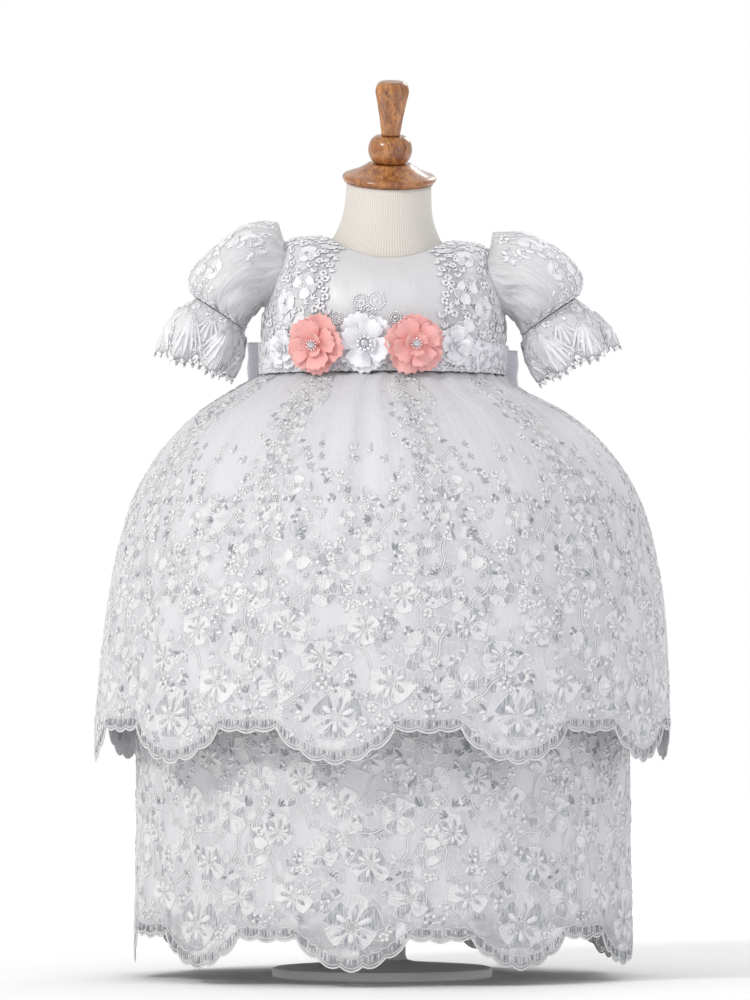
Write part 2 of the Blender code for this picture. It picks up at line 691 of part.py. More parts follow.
def make_sleeve(name, table, side):
    """A puff that leaves the armhole squarely, fills out and is drawn in again at the cuff."""
    turn = np.linspace(0, 2 * math.pi, SLEEVE_SIDES, endpoint=False)
    gather = 0.5 + 0.5 * np.cos(SLEEVE_GATHERS * turn)
    inset = SEAM + 0.0003
    outer = [armhole_ring(side, turn, inset, out) for out in (-CLOTH, SLEEVE_HEAD)]
    inner = [armhole_ring(side, turn, inset + THIN_CLOTH, out) for out in (-CLOTH, SLEEVE_HEAD)]
    for ring in table:
        outer.append(puff_ring(ring, turn, ring.gather * gather))
        inner.append(puff_ring(ring, turn, -THIN_CLOTH))
    wall_solid(name, np.array(outer), np.array(inner), "organza_white", closed=True)


def make_frill(name, table, side):
    """The lace frill below the cuff: it spreads, waves and ends in points."""
    turn = np.linspace(0, 2 * math.pi, FRILL_SIDES, endpoint=False)
    wave = np.cos(FRILL_WAVES * turn)
    outer, inner = [], []
    for k, ring in enumerate(table):
        tip = FRILL_TIP * wave if k == len(table) - 1 else 0 * wave
        reach = unit(np.array([ring.outer_x - ring.inner_x, 0, ring.outer_z - ring.inner_z]))
        away = np.array([side * abs(reach[2]), 0, -abs(reach[0])])
        shift = np.multiply.outer(tip, away)
        outer.append(puff_ring(ring, turn, ring.gather * wave) + shift)
        inner.append(puff_ring(ring, turn, ring.gather * wave - THIN_CLOTH) + shift)
    wall_solid(name, np.array(outer), np.array(inner), "lace_white", closed=True)


def make_sleeves():
    make_sleeve("sleeve_left", LEFT_PUFF, -1)
    make_sleeve("sleeve_right", RIGHT_PUFF, 1)
    make_frill("sleeve_frill_left", LEFT_FRILL, -1)
    make_frill("sleeve_frill_right", RIGHT_FRILL, 1)


def sash_seat(across, height):
    """The point of the sash's outer face at that place, and its outward direction."""
    row = float(np.interp(height, [TORSO[0].front, TORSO[1].front, TORSO[2].front], [0, 1, 2]))
    width = smooth_rows([[ring.half_width] for ring in TORSO], row)[0]
    angle = math.asin(across / width)
    lift = SASH_LIFT + SASH_THICK + SEAM
    spot = torso_moved(np.array(angle), np.array(row), np.array(lift))
    out = torso_normal(np.array(angle), np.array(row))
    return spot, out


def facing_frame(out):
    """Sideways and upward directions in the plane that faces out."""
    side = unit(np.cross(np.array([0, 0, 1.0]), out))
    return side, np.cross(out, side)


def placed(local, spot, out):
    side, up = facing_frame(out)
    return spot + local[..., :1] * side + local[..., 1:2] * up + local[..., 2:] * out


def petal_reach(turn):
    """The outline of the rosette: petals with notches between them."""
    return 1.0 - 0.13 * np.abs(np.cos(turn * PETALS / 2)) ** 6


def flower_rings(flower):
    """Rings of a rosette, from its foot on the sash, out under the petals and back over them."""
    turn = np.linspace(0, 2 * math.pi, PETALS * PETAL_COLUMNS, endpoint=False)
    level = np.zeros(turn.shape)
    reach = flower.radius * petal_reach(turn)
    rise = flower.radius / FULL_FLOWER
    ruffle = rise * 0.0012 * np.cos(PETALS * turn)
    neck = level + min(0.0065, flower.radius * 0.35)
    foot = flower.foot
    rows = (
        (neck, level),
        (neck, level + foot),
        (reach, foot + rise * 0.0020 + ruffle),
        (reach, foot + rise * 0.0034 + ruffle),
        (reach * 0.52, level + foot + rise * 0.0030),
        (reach * 0.46, foot + rise * 0.0062 + ruffle),
        (neck, level + foot + rise * 0.0036),
    )
    return [np.stack([r * np.sin(turn), r * np.cos(turn), h], axis=-1) for r, h in rows]


def stone_rings(flower):
    turn = np.linspace(0, 2 * math.pi, STONE_SIDES, endpoint=False)
    rise = flower.radius / FULL_FLOWER
    seat = flower.foot + rise * 0.0036 + SEAM
    rows = ((0.92, seat), (1.0, seat + rise * 0.0012), (0.6, seat + rise * 0.0032))
    return [
        np.stack(
            [
                share * flower.stone * np.sin(turn),
                share * flower.stone * np.cos(turn),
                np.full(STONE_SIDES, height),
            ],
            axis=-1,
        )
        for share, height in rows
    ]


def make_flowers():
    for flower in FLOWERS:
        spot, out = sash_seat(flower.across, flower.height)
        rings = [placed(ring, spot, out) for ring in flower_rings(flower)]
        stacked_solid(flower.name, rings, flower.colour)
        rings = [placed(ring, spot, out) for ring in stone_rings(flower)]
        stacked_solid(flower.name.replace("flower", "stone"), rings, "rhinestone")


def bow_seat():
    """The back face of the sash, where the knot sits."""
    row = float(np.interp(BOW_HEIGHT, [TORSO[0].back, TORSO[1].back], [0, 1]))
    lift = SASH_LIFT + SASH_THICK + 0.0008
    return torso_moved(np.array(math.pi), np.array(row), np.array(lift))


def ribbon_wall(name, path, half_widths, thick, closed):
    """A ribbon of upright width along a path in plan, thickened square to the path."""
    path = np.asarray(path, float)
    if closed:
        ahead = np.roll(path, -1, axis=0) - np.roll(path, 1, axis=0)
    else:
        ahead = np.gradient(path, axis=0)
    aside = unit(np.stack([ahead[:, 1], -ahead[:, 0], np.zeros(len(path))], axis=-1))
    levels = np.array([-1.0, 0.0, 1.0])
    sheets = []
    for offset in (thick / 2, -thick / 2):
        moved = path + aside * offset
        sheet = np.repeat(moved[None], len(levels), axis=0)
        sheet[:, :, 2] += levels[:, None] * half_widths[None, :]
        sheets.append(sheet)
    wall_solid(name, sheets[0], sheets[1], "ribbon_white", closed)


def make_bow():
    seat = bow_seat()
    turn = np.linspace(0, 2 * math.pi, 12, endpoint=False)
    rings = []
    for level, swell in ((-1.0, 0.72), (-0.55, 1.0), (0.0, 0.94), (0.55, 1.0), (1.0, 0.72)):
        x = seat[0] + KNOT_HALF_WIDTH * swell * np.sin(turn)
        y = seat[1] + KNOT_DEPTH / 2 * (1 - swell * np.cos(turn))
        z = np.full(turn.shape, seat[2] + level * KNOT_HALF_HEIGHT)
        rings.append(np.stack([x, y, z], axis=-1))
    stacked_solid("bow_knot", rings, "ribbon_white")
    for name, side in (("right", 1), ("left", -1)):
        make_bow_loop(name, side, seat)
        make_bow_tail(name, side, seat)


def make_bow_loop(name, side, seat):
    """A loop that leaves the knot, follows the back of the waist outwards and comes back."""
    turn = np.linspace(0, 2 * math.pi, LOOP_POINTS, endpoint=False)
    out = (1 - np.cos(turn)) / 2
    start = KNOT_HALF_WIDTH + SEAM + THIN_CLOTH / 2
    x = seat[0] + side * (start + (LOOP_REACH - start) * out)
    middle = seat[1] + KNOT_DEPTH / 2 + 0.012 * out - (LOOP_SWEEP + 0.012) * out**2
    y = middle + LOOP_OPEN * np.sin(turn) * (0.35 + 0.85 * out)
    path = np.stack([x, y, seat[2] - LOOP_DROOP[name] * out], axis=-1)
    half_widths = LOOP_RIBBON / 2 * (0.45 + 0.55 * np.sin(np.clip(out * 1.3, 0, 1) * math.pi / 2))
    ribbon_wall(f"bow_loop_{name}", path, half_widths, THIN_CLOTH, closed=True)


def upper_tier_back(x, height):
    """How far back the upper tier's ridges reach at that place."""
    heights = [ring.height for ring in UPPER_TIER][::-1]
    wide = np.interp(height, heights, [ring.half_width for ring in UPPER_TIER][::-1])
    deep = np.interp(height, heights, [ring.half_depth for ring in UPPER_TIER][::-1])
    return deep * np.sqrt(1 - (x / wide) ** 2) + max(fold.height for fold in UPPER_FOLDS)


def make_bow_tail(name, side, seat):
    """A tail that falls from the knot and lies down the back of the skirt."""
    height = np.array(TAIL_HEIGHTS)
    drop = (height[0] - height) / (height[0] - height[-1])
    half = 0.0055 + 0.0135 * np.clip(drop * 2.5, 0, 1)
    x = seat[0] + side * (0.0062 + 0.052 * drop**1.1 + half - half[0])
    near, far = [], []
    for level in (-1.0, 0.0, 1.0):
        z = height + level * side * TAIL_SLANT * (drop == 1)
        at = x + level * half
        y = np.maximum(seat[1] + 0.0025, upper_tier_back(at, z) + 0.0025)
        edge = np.stack([at, y, z], axis=-1)
        near.append(edge)
        far.append(edge + np.array([0, THIN_CLOTH, 0]))
    wall_solid(f"bow_tail_{name}", np.array(far), np.array(near), "ribbon_white", closed=False)


def main():
    clear_scene()
    make_stand()
    make_form()
    make_neck_cap()
    make_skirts()
    make_bodice()
    make_sleeves()
    make_sash()
    make_flowers()
    make_bow()


main()
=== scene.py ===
"""Christening gown of white corded lace on a child's dress form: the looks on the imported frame.

Lengths are metres and angles radians, unless a name says otherwise. Lace work is laid out flat in
millimetres, across and up from the hem, and is then carried onto the surface that it is sewn to.
"""

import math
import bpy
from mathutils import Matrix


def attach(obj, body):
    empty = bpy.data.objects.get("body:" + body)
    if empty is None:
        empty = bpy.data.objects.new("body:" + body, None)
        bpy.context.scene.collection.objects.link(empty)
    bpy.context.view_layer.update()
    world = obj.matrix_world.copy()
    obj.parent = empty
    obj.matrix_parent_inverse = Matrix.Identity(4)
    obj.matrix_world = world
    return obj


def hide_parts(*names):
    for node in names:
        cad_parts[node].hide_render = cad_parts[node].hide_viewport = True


bl_info = {
    "name": "Lace christening gown",
    "version": (1, 0, 0),
    "blender": (4, 5, 0),
    "location": "View3D > Sidebar > Gown",
    "description": "Builds a two-tiered lace christening gown on its dress form",
    "category": "Object",
}

from collections import namedtuple

import bpy
import numpy as np
from mathutils import Matrix, Vector

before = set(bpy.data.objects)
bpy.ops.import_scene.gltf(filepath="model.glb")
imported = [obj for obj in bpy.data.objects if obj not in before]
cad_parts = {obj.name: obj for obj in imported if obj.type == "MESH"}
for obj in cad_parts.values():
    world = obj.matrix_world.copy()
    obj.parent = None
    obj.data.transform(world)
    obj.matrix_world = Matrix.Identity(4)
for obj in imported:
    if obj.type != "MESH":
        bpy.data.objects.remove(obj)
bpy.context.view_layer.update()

TURN = 2 * math.pi

# The figure's sizes, as in the solids.
CLOTH = 0.0013
THIN_CLOTH = 0.0011
SEAM = 0.0003
NECK_TILT = math.radians(14.5)
NECK_TOP_HEIGHT = 0.6505
NECK_TOP_Y = -0.006
NECK_TOP_RADIUS = 0.0350
SIDE_LEAN = math.radians(2.0)
WAIST_HEIGHT = 0.4920
LEAN_BLEND = 0.060

TorsoRing = namedtuple("TorsoRing", "half_width half_depth centre_y front side back ease")
TORSO = [TorsoRing(*row) for row in (
    (0.0975, 0.0750, 0.000, 0.4920, 0.4920, 0.4920, 0.0045),
    (0.0990, 0.0770, 0.000, 0.5200, 0.5150, 0.5200, 0.0040),
    (0.0985, 0.0760, 0.000, 0.5460, 0.5370, 0.5480, 0.0036),
    (0.0955, 0.0695, 0.001, 0.5660, 0.5640, 0.5710, 0.0030),
    (0.0900, 0.0590, 0.003, 0.5770, 0.5850, 0.5870, 0.0026),
    (0.0830, 0.0490, 0.004, 0.5820, 0.5985, 0.5970, 0.0026),
    (0.0670, 0.0425, 0.003, 0.5845, 0.6025, 0.6020, 0.0024),
    (0.0490, 0.0380, 0.002, 0.5865, 0.6035, 0.6045, 0.0013),
)]
FORM_BELOW = [(0.070, 0.054, 0.300), (0.082, 0.064, 0.306), (0.0915, 0.071, 0.332)]
FORM_BELOW += [(0.0945, 0.073, 0.390), (0.0925, 0.071, 0.450)]
NECK = [(0.0415, 0.0350, 0.001, 0.6100, 0.0120), (0.0365, 0.0345, -0.002, 0.6265, 0.0105)]
LACE_EDGE = (27.0, 27.0, 29.0, 31.0, 31.0, 33.0, 37.0, 42.0)
ARMHOLE_LOW_ROW = 2.3
ARMHOLE_TOP_ROW = 5.0
ARMHOLE_MIDDLE_ROW = (ARMHOLE_LOW_ROW + ARMHOLE_TOP_ROW) / 2
ARMHOLE_HALF_ROWS = (ARMHOLE_TOP_ROW - ARMHOLE_LOW_ROW) / 2
ARMHOLE_HALF_ANGLE = math.radians(25.0)
HALF_SEAM_ANGLE = 0.0035
SASH_LIFT = 0.0022
SASH_THICK = 0.0011
SASH_LOW_ROW = 0.10
SATIN_THICKNESS = 0.0006
STITCH_LIFT = 0.0002

# Laying the flat lace round: radii and widths in millimetres, steps from ring to ring in metres.
TORSO_RADIUS_MM = 88.0
SLEEVE_RADIUS_MM = 38.0
SLEEVE_RING_STEP = 0.0142
FRILL_RADIUS_MM = 34
FRILL_RING_STEP = 0.0185
SASH_WIDTH_MM = 28.5
COLUMN_PLACE_MM = 62

# Skirt rings: height, half width, half depth, shift, gather, fold.
UPPER_RINGS = [
    (0.4915, 0.0995, 0.0772, 0.0, 0.0018, 0.0),
    (0.4800, 0.1160, 0.0980, -0.004, 0.0022, 0.2),
    (0.4570, 0.1540, 0.1370, -0.001, 0.0020, 0.5),
    (0.4250, 0.1850, 0.1650, 0.001, 0.0013, 0.9),
    (0.3780, 0.2100, 0.1860, 0.002, 0.0007, 1.0),
    (0.3050, 0.2260, 0.2010, 0.002, 0.0003, 0.9),
    (0.2060, 0.2340, 0.2085, -0.0006, 0.0, 0.8),
]
LOWER_RINGS = [
    (0.2750, 0.1983, 0.1743, 0.0, 0.0, 0.0),
    (0.2150, 0.2005, 0.1765, 0.0, 0.0, 0.4),
    (0.1250, 0.2000, 0.1760, 0.0, 0.0, 0.8),
    (0.0400, 0.2010, 0.1770, 0.0, 0.0, 1.0),
]
LINING_RINGS = [
    (0.4915, 0.0975, 0.0752, 0.0, 0.0, 0.0),
    (0.4800, 0.1060, 0.0890, 0.0, 0.0, 0.0),
    (0.4570, 0.1430, 0.1260, 0.0, 0.0, 0.0),
    (0.4250, 0.1690, 0.1490, 0.0, 0.0, 0.0),
    (0.3780, 0.1880, 0.1650, 0.0, 0.0, 0.0),
    (0.2750, 0.1965, 0.1725, 0.0, 0.0, 0.0),
    (0.0520, 0.1970, 0.1730, 0.0, 0.0, 0.0),
]
# Soft folds: angle, width, height in metres and drift on the way down, angles in degrees.
UPPER_FOLDS = [
    (-66, 10, 0.0045, -6), (-38, 8, 0.0050, -9), (-17, 7, 0.0035, -4), (5, 7, 0.0030, 0),
    (24, 8, 0.0045, 7), (47, 9, 0.0050, 8), (74, 10, 0.0040, 5), (105, 9, 0.0045, 4),
    (133, 9, 0.0050, 3), (160, 8, 0.0040, 2), (-170, 8, 0.0040, -2), (-142, 9, 0.0050, -3),
    (-112, 9, 0.0045, -4),
]
LOWER_FOLDS = [
    (-72, 9, 0.0050, -2), (-40, 11, 0.0030, 2), (-12, 12, 0.0025, 0), (18, 11, 0.0030, 2),
    (50, 10, 0.0040, 3), (80, 9, 0.0050, -1), (116, 11, 0.0040, 2), (150, 11, 0.0045, 0),
    (-165, 11, 0.0040, 1), (-128, 11, 0.0045, -2), (-100, 9, 0.0040, 0),
]
Tier = namedtuple("Tier", "rings folds gathers repeats repeat_mm centre deep lobe")
UPPER = Tier(UPPER_RINGS, UPPER_FOLDS, 35, 10, 139, math.radians(-9.0), 0.0255, 0.0042)
LOWER = Tier(LOWER_RINGS, LOWER_FOLDS, 0, 9, 132, math.radians(-7.0), 0.0240, 0.0040)
LINING = Tier(LINING_RINGS, [], 0, 0, 0, 0.0, 0.0, 0.0)

# Sleeve and frill rings: outer x and z, inner x and z, half depth, gather.
PuffRing = namedtuple("PuffRing", "outer_x outer_z inner_x inner_z half_depth gather")
LEFT_PUFF = [PuffRing(*row) for row in (
    (-0.0860, 0.6165, -0.1035, 0.5440, 0.0330, 0.0010),
    (-0.1110, 0.6150, -0.1065, 0.5415, 0.0430, 0.0006),
    (-0.1350, 0.5995, -0.1090, 0.5385, 0.0470, 0.0004),
    (-0.1530, 0.5810, -0.1110, 0.5355, 0.0440, 0.0006),
    (-0.1580, 0.5650, -0.1125, 0.5325, 0.0350, 0.0010),
    (-0.1525, 0.5555, -0.1135, 0.5295, 0.0270, 0.0012),
)]
RIGHT_PUFF = [PuffRing(*row) for row in (
    (0.0910, 0.6080, 0.1060, 0.5400, 0.0330, 0.0010),
    (0.1160, 0.6085, 0.1085, 0.5375, 0.0430, 0.0006),
    (0.1400, 0.5985, 0.1105, 0.5345, 0.0470, 0.0004),
    (0.1580, 0.5815, 0.1125, 0.5315, 0.0440, 0.0006),
    (0.1635, 0.5660, 0.1140, 0.5285, 0.0350, 0.0010),
    (0.1580, 0.5555, 0.1150, 0.5255, 0.0270, 0.0012),
)]
LEFT_FRILL = [PuffRing(*row) for row in (
    (-0.1528, 0.5551, -0.1138, 0.5291, 0.0272, 0.0),
    (-0.1675, 0.5440, -0.1140, 0.5220, 0.0320, 0.0016),
    (-0.1760, 0.5260, -0.1190, 0.5050, 0.0345, 0.0034),
    (-0.1815, 0.5080, -0.1285, 0.4890, 0.0360, 0.0050),
)]
RIGHT_FRILL = [PuffRing(*row) for row in (
    (0.1583, 0.5551, 0.1153, 0.5251, 0.0272, 0.0),
    (0.1760, 0.5400, 0.1165, 0.5175, 0.0330, 0.0016),
    (0.1850, 0.5270, 0.1235, 0.5010, 0.0360, 0.0034),
    (0.1905, 0.5130, 0.1345, 0.4860, 0.0375, 0.0050),
)]
FRILL_WAVES = 6

Flower = namedtuple("Flower", "name across height radius foot stone pink")
FLOWERS = [Flower(*row) for row in (
    ("flower_white_far_left", -0.0775, 0.5135, 0.0160, 0.0008, 0.0034, False),
    ("flower_pink_left", -0.0500, 0.5145, 0.0240, 0.0085, 0.0046, True),
    ("flower_white_middle", -0.0140, 0.5150, 0.0240, 0.0008, 0.0068, False),
    ("flower_pink_right", 0.0230, 0.5155, 0.0240, 0.0085, 0.0046, True),
    ("flower_white_far_right", 0.0555, 0.5160, 0.0160, 0.0008, 0.0034, False),
)]

BOW_HEIGHT = 0.5080
KNOT_HALF_WIDTH = 0.0110
KNOT_HALF_HEIGHT = 0.0125
KNOT_DEPTH = 0.0110
LOOP_REACH = 0.1120
LOOP_RIBBON = 0.0340
LOOP_DROOP = {"left": 0.001, "right": 0.008}
LOOP_SWEEP = 0.0300
LOOP_OPEN = 0.0095
TAIL_HEIGHTS = (0.4932, 0.4870, 0.4800, 0.4570, 0.4250, 0.4000, 0.3780, 0.3450)
TAIL_SLANT = 0.012


def length_property(name, description, value, low, high):
    return bpy.props.FloatProperty(
        name=name, description=description, default=value, min=low, max=high, unit="LENGTH"
    )


class GownSizes(bpy.types.PropertyGroup):
    pad_rise: length_property(
        "Pad rise", "How far a satin-stitched pad stands off its net", 0.0008, 0.0002, 0.002
    )
    cord_width: length_property(
        "Cord width", "Width of the cord that outlines the motifs", 0.00100, 0.0004, 0.002
    )
    net_thickness: length_property(
        "Net thickness", "Thickness of the cloth that carries the lace", 0.0004, 0.0001, 0.001
    )
    crease_height: length_property(
        "Crease height", "Height of the skirt's small soft creases", 0.0026, 0.0, 0.004
    )
    rib_spacing: length_property(
        "Rib spacing", "Distance between the ribs of the form's jersey", 0.0019, 0.001, 0.004
    )
    petal_thickness: length_property(
        "Petal thickness", "Thickness of the sash flowers' petals", 0.00045, 0.0002, 0.001
    )


def colour_property(name, description, value):
    return bpy.props.FloatVectorProperty(
        name=name, description=description, default=value, subtype="COLOR", size=3,
        min=0.0, max=1.0,
    )


class GownColours(bpy.types.PropertyGroup):
    white_thread: colour_property("White thread", "Cords and white stitches", (0.77, 0.77, 0.78))
    # Painted shade and sheen: this grey, mixed into the white lace's satin stitches, stands for
    # their shade and gloss, not for a grey thread.
    silver_thread: colour_property("Painted stitch shade", "Shaded satin stitches", (0.16, 0.18, 0.22))
    net: colour_property("Net", "Net under the lace", (0.57, 0.57, 0.60))
    organza: colour_property("Organza", "Sheer cloth of the sleeves", (0.73, 0.73, 0.75))
    # Partly painted shade: the white satin's own colour, set darker to carry shadow over the
    # front.
    satin: colour_property("Satin", "Plain satin of the front", (0.67, 0.67, 0.69))
    ribbon: colour_property("Ribbon", "Sash and bow", (0.90, 0.90, 0.96))
    lining: colour_property("Lining", "Lining of the skirt", (0.74, 0.74, 0.75))
    white_petal: colour_property("White petals", "White sash flowers", (0.85, 0.85, 0.88))
    pink_petal: colour_property("Pink petals", "Pink sash flowers", (0.84, 0.44, 0.42))
    # Painted shade: the darker pink of the flowers' depths, where shade falls between the petals.
    pink_fold: colour_property("Pink painted shade", "Depths of the pink flowers", (0.74, 0.23, 0.20))
    jersey: colour_property("Jersey", "Ribbed knit of the form", (0.74, 0.70, 0.64))
    # The grain's own colours, set somewhat darker as painted shade over the cap.
    wood_light: colour_property("Light wood", "Light grain of the cap", (0.50, 0.21, 0.06))
    wood_dark: colour_property("Dark wood", "Dark grain of the cap", (0.20, 0.06, 0.015))
    silver: colour_property("Silver", "Settings and beads", (0.96, 0.96, 0.97))
    stand: colour_property("Stand", "Painted stand", (0.92, 0.91, 0.90))


def sizes():
    return bpy.context.scene.gown_sizes


def colours():
    return bpy.context.scene.gown_colours


# Surfaces


def smooth_rows(values, at):
    """Rows of a table between its rows: a Catmull-Rom curve through them, at row numbers."""
    values = np.asarray(values, float)
    at = np.clip(np.asarray(at, float), 0, len(values) - 1)
    low = np.minimum(at.astype(int), len(values) - 2)
    part = (at - low)[..., None]
    before = values[np.maximum(low - 1, 0)]
    start = values[low]
    end = values[low + 1]
    after = values[np.minimum(low + 2, len(values) - 1)]
    return 0.5 * (
        2 * start
        + (end - before) * part
        + (2 * before - 5 * start + 4 * end - after) * part**2
        + (3 * start - before - 3 * end + after) * part**3
    )


def full_turn(count):
    """Even angles once round, without the last."""
    return np.linspace(0, TURN, count, endpoint=False)


def points_of(*parts):
    """An array of points or places from their coordinates."""
    return np.stack(np.broadcast_arrays(*parts), axis=-1)


def unit(vectors):
    return vectors / np.maximum(np.linalg.norm(vectors, axis=-1, keepdims=True), 1e-12)


def paired(first, second):
    return np.broadcast_arrays(np.asarray(first, float), np.asarray(second, float))


def leaned(points):
    """The figure's lean to the side, which grows from nothing at the waist."""
    above = np.clip(points[..., 2] - WAIST_HEIGHT, 0, None)
    share = np.clip(above / LEAN_BLEND, 0, 1)
    share = share * share * (3 - 2 * share)
    moved = np.array(points, float)
    moved[..., 0] += above * math.sin(SIDE_LEAN)
    moved[..., 2] -= points[..., 0] * math.sin(SIDE_LEAN) * share
    return moved


def torso_surface(angle, row):
    """Points of the bodice's outer surface."""
    angle, row = paired(angle, row)
    table = smooth_rows([ring[:6] for ring in TORSO], row)
    width, depth, centre_y, front, side, back = np.moveaxis(table, -1, 0)
    facing = np.cos(angle)
    end = np.where(facing >= 0, front, back)
    height = side + (end - side) * facing**2
    flat = points_of(width * np.sin(angle), centre_y - depth * facing, height)
    return leaned(flat)


def torso_normal(angle, row):
    step = 1e-3
    round_it = torso_surface(angle + step, row) - torso_surface(angle - step, row)
    low = np.clip(row - 0.02, 0, len(TORSO) - 1)
    high = np.clip(row + 0.02, 0, len(TORSO) - 1)
    up = torso_surface(angle, high) - torso_surface(angle, low)
    return unit(np.cross(round_it, up))


def torso_moved(angle, row, out):
    return torso_surface(angle, row) + torso_normal(angle, row) * np.asarray(out)[..., None]


def fold_height(angle, down, folds):
    """The soft folds together: each is a ridge that drifts round as it goes down."""
    total = np.zeros(np.broadcast(angle, down).shape)
    for at, width, height, drift in folds:
        middle = math.radians(at) + math.radians(drift) * down
        away = np.mod(angle - middle + math.pi, TURN) - math.pi
        total = total + height * np.exp(-((away / math.radians(width)) ** 2))
    return total


def gather_height(angle, count):
    uneven = angle + 0.030 * np.sin(5 * angle + 1.0) + 0.018 * np.sin(11 * angle)
    return 0.5 + 0.5 * np.cos(count * uneven)


def crease_height(angle, down):
    """Small uneven creases that fan out from the waist and fade towards the hem."""
    swing = angle + 0.05 * np.sin(3 * angle + 2 * down) + 0.02 * np.sin(8 * angle - 3 * down)
    fine = np.sin(41 * swing + 1.3) * (0.6 + 0.4 * np.sin(7 * angle + 4 * down))
    broad = np.sin(19 * swing + 2.0 * np.sin(2 * angle))
    return (0.6 * fine + 0.4 * broad) * (1 - down) ** 1.3


def profile_lengths(tier):
    """Row numbers from the hem line up, and how far up the cloth each one is."""
    rows = np.linspace(len(tier.rings) - 1, 0, 240)
    table = smooth_rows(tier.rings, rows)
    mean = (table[:, 1] + table[:, 2]) / 2
    steps = np.hypot(np.diff(mean), np.diff(table[:, 0]))
    return rows, np.concatenate([[0], np.cumsum(steps)])


def tier_point(tier, angle, up):
    """A point of the tier's cloth at that angle, so far up the cloth from the hem line."""
    rows, lengths = profile_lengths(tier)
    angle, up = paired(angle, up)
    row = np.interp(up, lengths, rows)
    table = smooth_rows(tier.rings, row)
    height, width, depth, shift, gather, fold = np.moveaxis(table, -1, 0)
    down = row / (len(tier.rings) - 1)
    out = fold * fold_height(angle, down, tier.folds)
    if tier.gathers:
        out = out + gather * gather_height(angle, tier.gathers)
        out = out + sizes().crease_height * crease_height(angle, down)
    height = height + np.minimum(up, 0)
    across = shift + (width + out) * np.sin(angle)
    return points_of(across, -(depth + out) * np.cos(angle), height)


def tier_normal(tier, angle, up):
    wide = tier_point(tier, angle + 4e-3, up) - tier_point(tier, angle - 4e-3, up)
    high = tier_point(tier, angle, up + 1e-3) - tier_point(tier, angle, up - 1e-3)
    return unit(np.cross(wide, high))


def tier_edge(tier, angle):
    """How far up the cloth the hem's edge is: below zero in the scallops and their lobes."""
    if not tier.repeats:
        return np.zeros(np.shape(angle))
    place = np.mod((angle - tier.centre) * tier.repeats / TURN + 0.5, 1.0) - 0.5
    share = np.clip(np.abs(place) / 0.32, 0, 1)
    deep = tier.deep * np.cos(share * math.pi / 2) ** 0.75
    lobes = tier.lobe * np.abs(np.sin(5 * math.pi * (place / 0.64 + 0.5))) ** 0.7
    beside = np.clip((np.abs(place) - 0.32) / 0.18, 0, 1)
    shallow = 0.0025 * np.sin(beside * math.pi / 2)
    small = 0.0028 * np.abs(np.sin(1.5 * math.pi * beside)) ** 0.7
    return -np.where(np.abs(place) < 0.32, deep + lobes, shallow + small)


def armhole_ring(side, turn, inset, out):
    """The armhole's edge as sewn, drawn in by the inset and moved out."""
    angle = math.pi / 2 - ARMHOLE_HALF_ANGLE * np.sin(turn)
    row = ARMHOLE_MIDDLE_ROW + ARMHOLE_HALF_ROWS * np.cos(turn)
    edge = torso_moved(side * angle, row, np.full(turn.shape, out))
    return edge + unit(edge.mean(axis=0) - edge) * inset


def puff_point(table, turn, row, out=0.0):
    """A point of a sleeve or frill, between the outer and inner points of its rings."""
    turn, row = paired(turn, row)
    ring = smooth_rows(table, row)
    outer = points_of(ring[..., 0], 0 * turn, ring[..., 1])
    inner = points_of(ring[..., 2], 0 * turn, ring[..., 3])
    middle = (outer + inner) / 2
    reach = (outer - inner) / 2
    long = np.linalg.norm(reach, axis=-1)
    out = np.broadcast_to(out, turn.shape)
    along = reach / long[..., None] * ((long + out) * np.cos(turn))[..., None]
    deep = np.array([0, -1.0, 0]) * ((ring[..., 4] + out) * np.sin(turn))[..., None]
    return middle + along + deep


def puff_normal(surface, turn, row):
    """Outward direction, told from the side that faces away from the ring's middle."""
    wide = surface(turn + 1e-2, row) - surface(turn - 1e-2, row)
    long = surface(turn, row + 0.03) - surface(turn, row - 0.03)
    across = unit(np.cross(wide, long))
    away = surface(turn, row) - surface(turn + math.pi, row)
    flip = np.where((across * away).sum(-1, keepdims=True) < 0, -1.0, 1.0)
    return across * flip


# Building pieces


def select_only(obj):
    bpy.ops.object.select_all(action="DESELECT")
    obj.select_set(True)
    bpy.context.view_layer.objects.active = obj


def in_scene(name, data):
    obj = bpy.data.objects.new(name, data)
    bpy.context.scene.collection.objects.link(obj)
    return obj


def linked(mesh, finish, slot_name, *replaced):
    """An object for the mesh, with its finish, riding on the figure for its solids."""
    obj = in_scene(mesh.name, mesh)
    mesh.materials.clear()
    mesh.materials.append(finish)
    return declared(obj, slot_name, *replaced)


def declared(obj, slot_name, *replaced):
    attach(obj, "root")
    if replaced:
        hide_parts(*replaced)
    return obj


def mesh_of(name, points, faces, smooth=True, uv=None, tone=None, worked=None):
    """A mesh from arrays, with the stitches' own UV map, tone and closeness where given. Tone is
    painted shade and sheen on lace and petals, and sheerness on net.
    """
    mesh = bpy.data.meshes.new(name)
    faces = faces if isinstance(faces, list) else faces.tolist()
    mesh.from_pydata(np.asarray(points, float).tolist(), [], faces)
    if uv is not None:
        corners = np.zeros(len(mesh.loops), int)
        mesh.loops.foreach_get("vertex_index", corners)
        mesh.uv_layers.new(name="stitch").data.foreach_set("uv", np.asarray(uv)[corners].ravel())
    for kind, values in (("tone", tone), ("worked", worked)):
        if values is not None:
            layer = mesh.attributes.new(kind, "FLOAT", "POINT")
            layer.data.foreach_set("value", np.asarray(values, float).ravel())
    if smooth:
        mesh.shade_smooth()
    return mesh


def grid_faces(rows, columns, closed=False):
    """Quads over a grid of points, rows by columns, closed round in its columns if asked."""
    number = np.arange(rows * columns).reshape(rows, columns)
    right = np.roll(number, -1, axis=1)
    if not closed:
        number, right = number[:, :-1], right[:, :-1]
    quads = points_of(number[:-1], right[:-1], right[1:], number[1:])
    return quads.reshape(-1, 4)


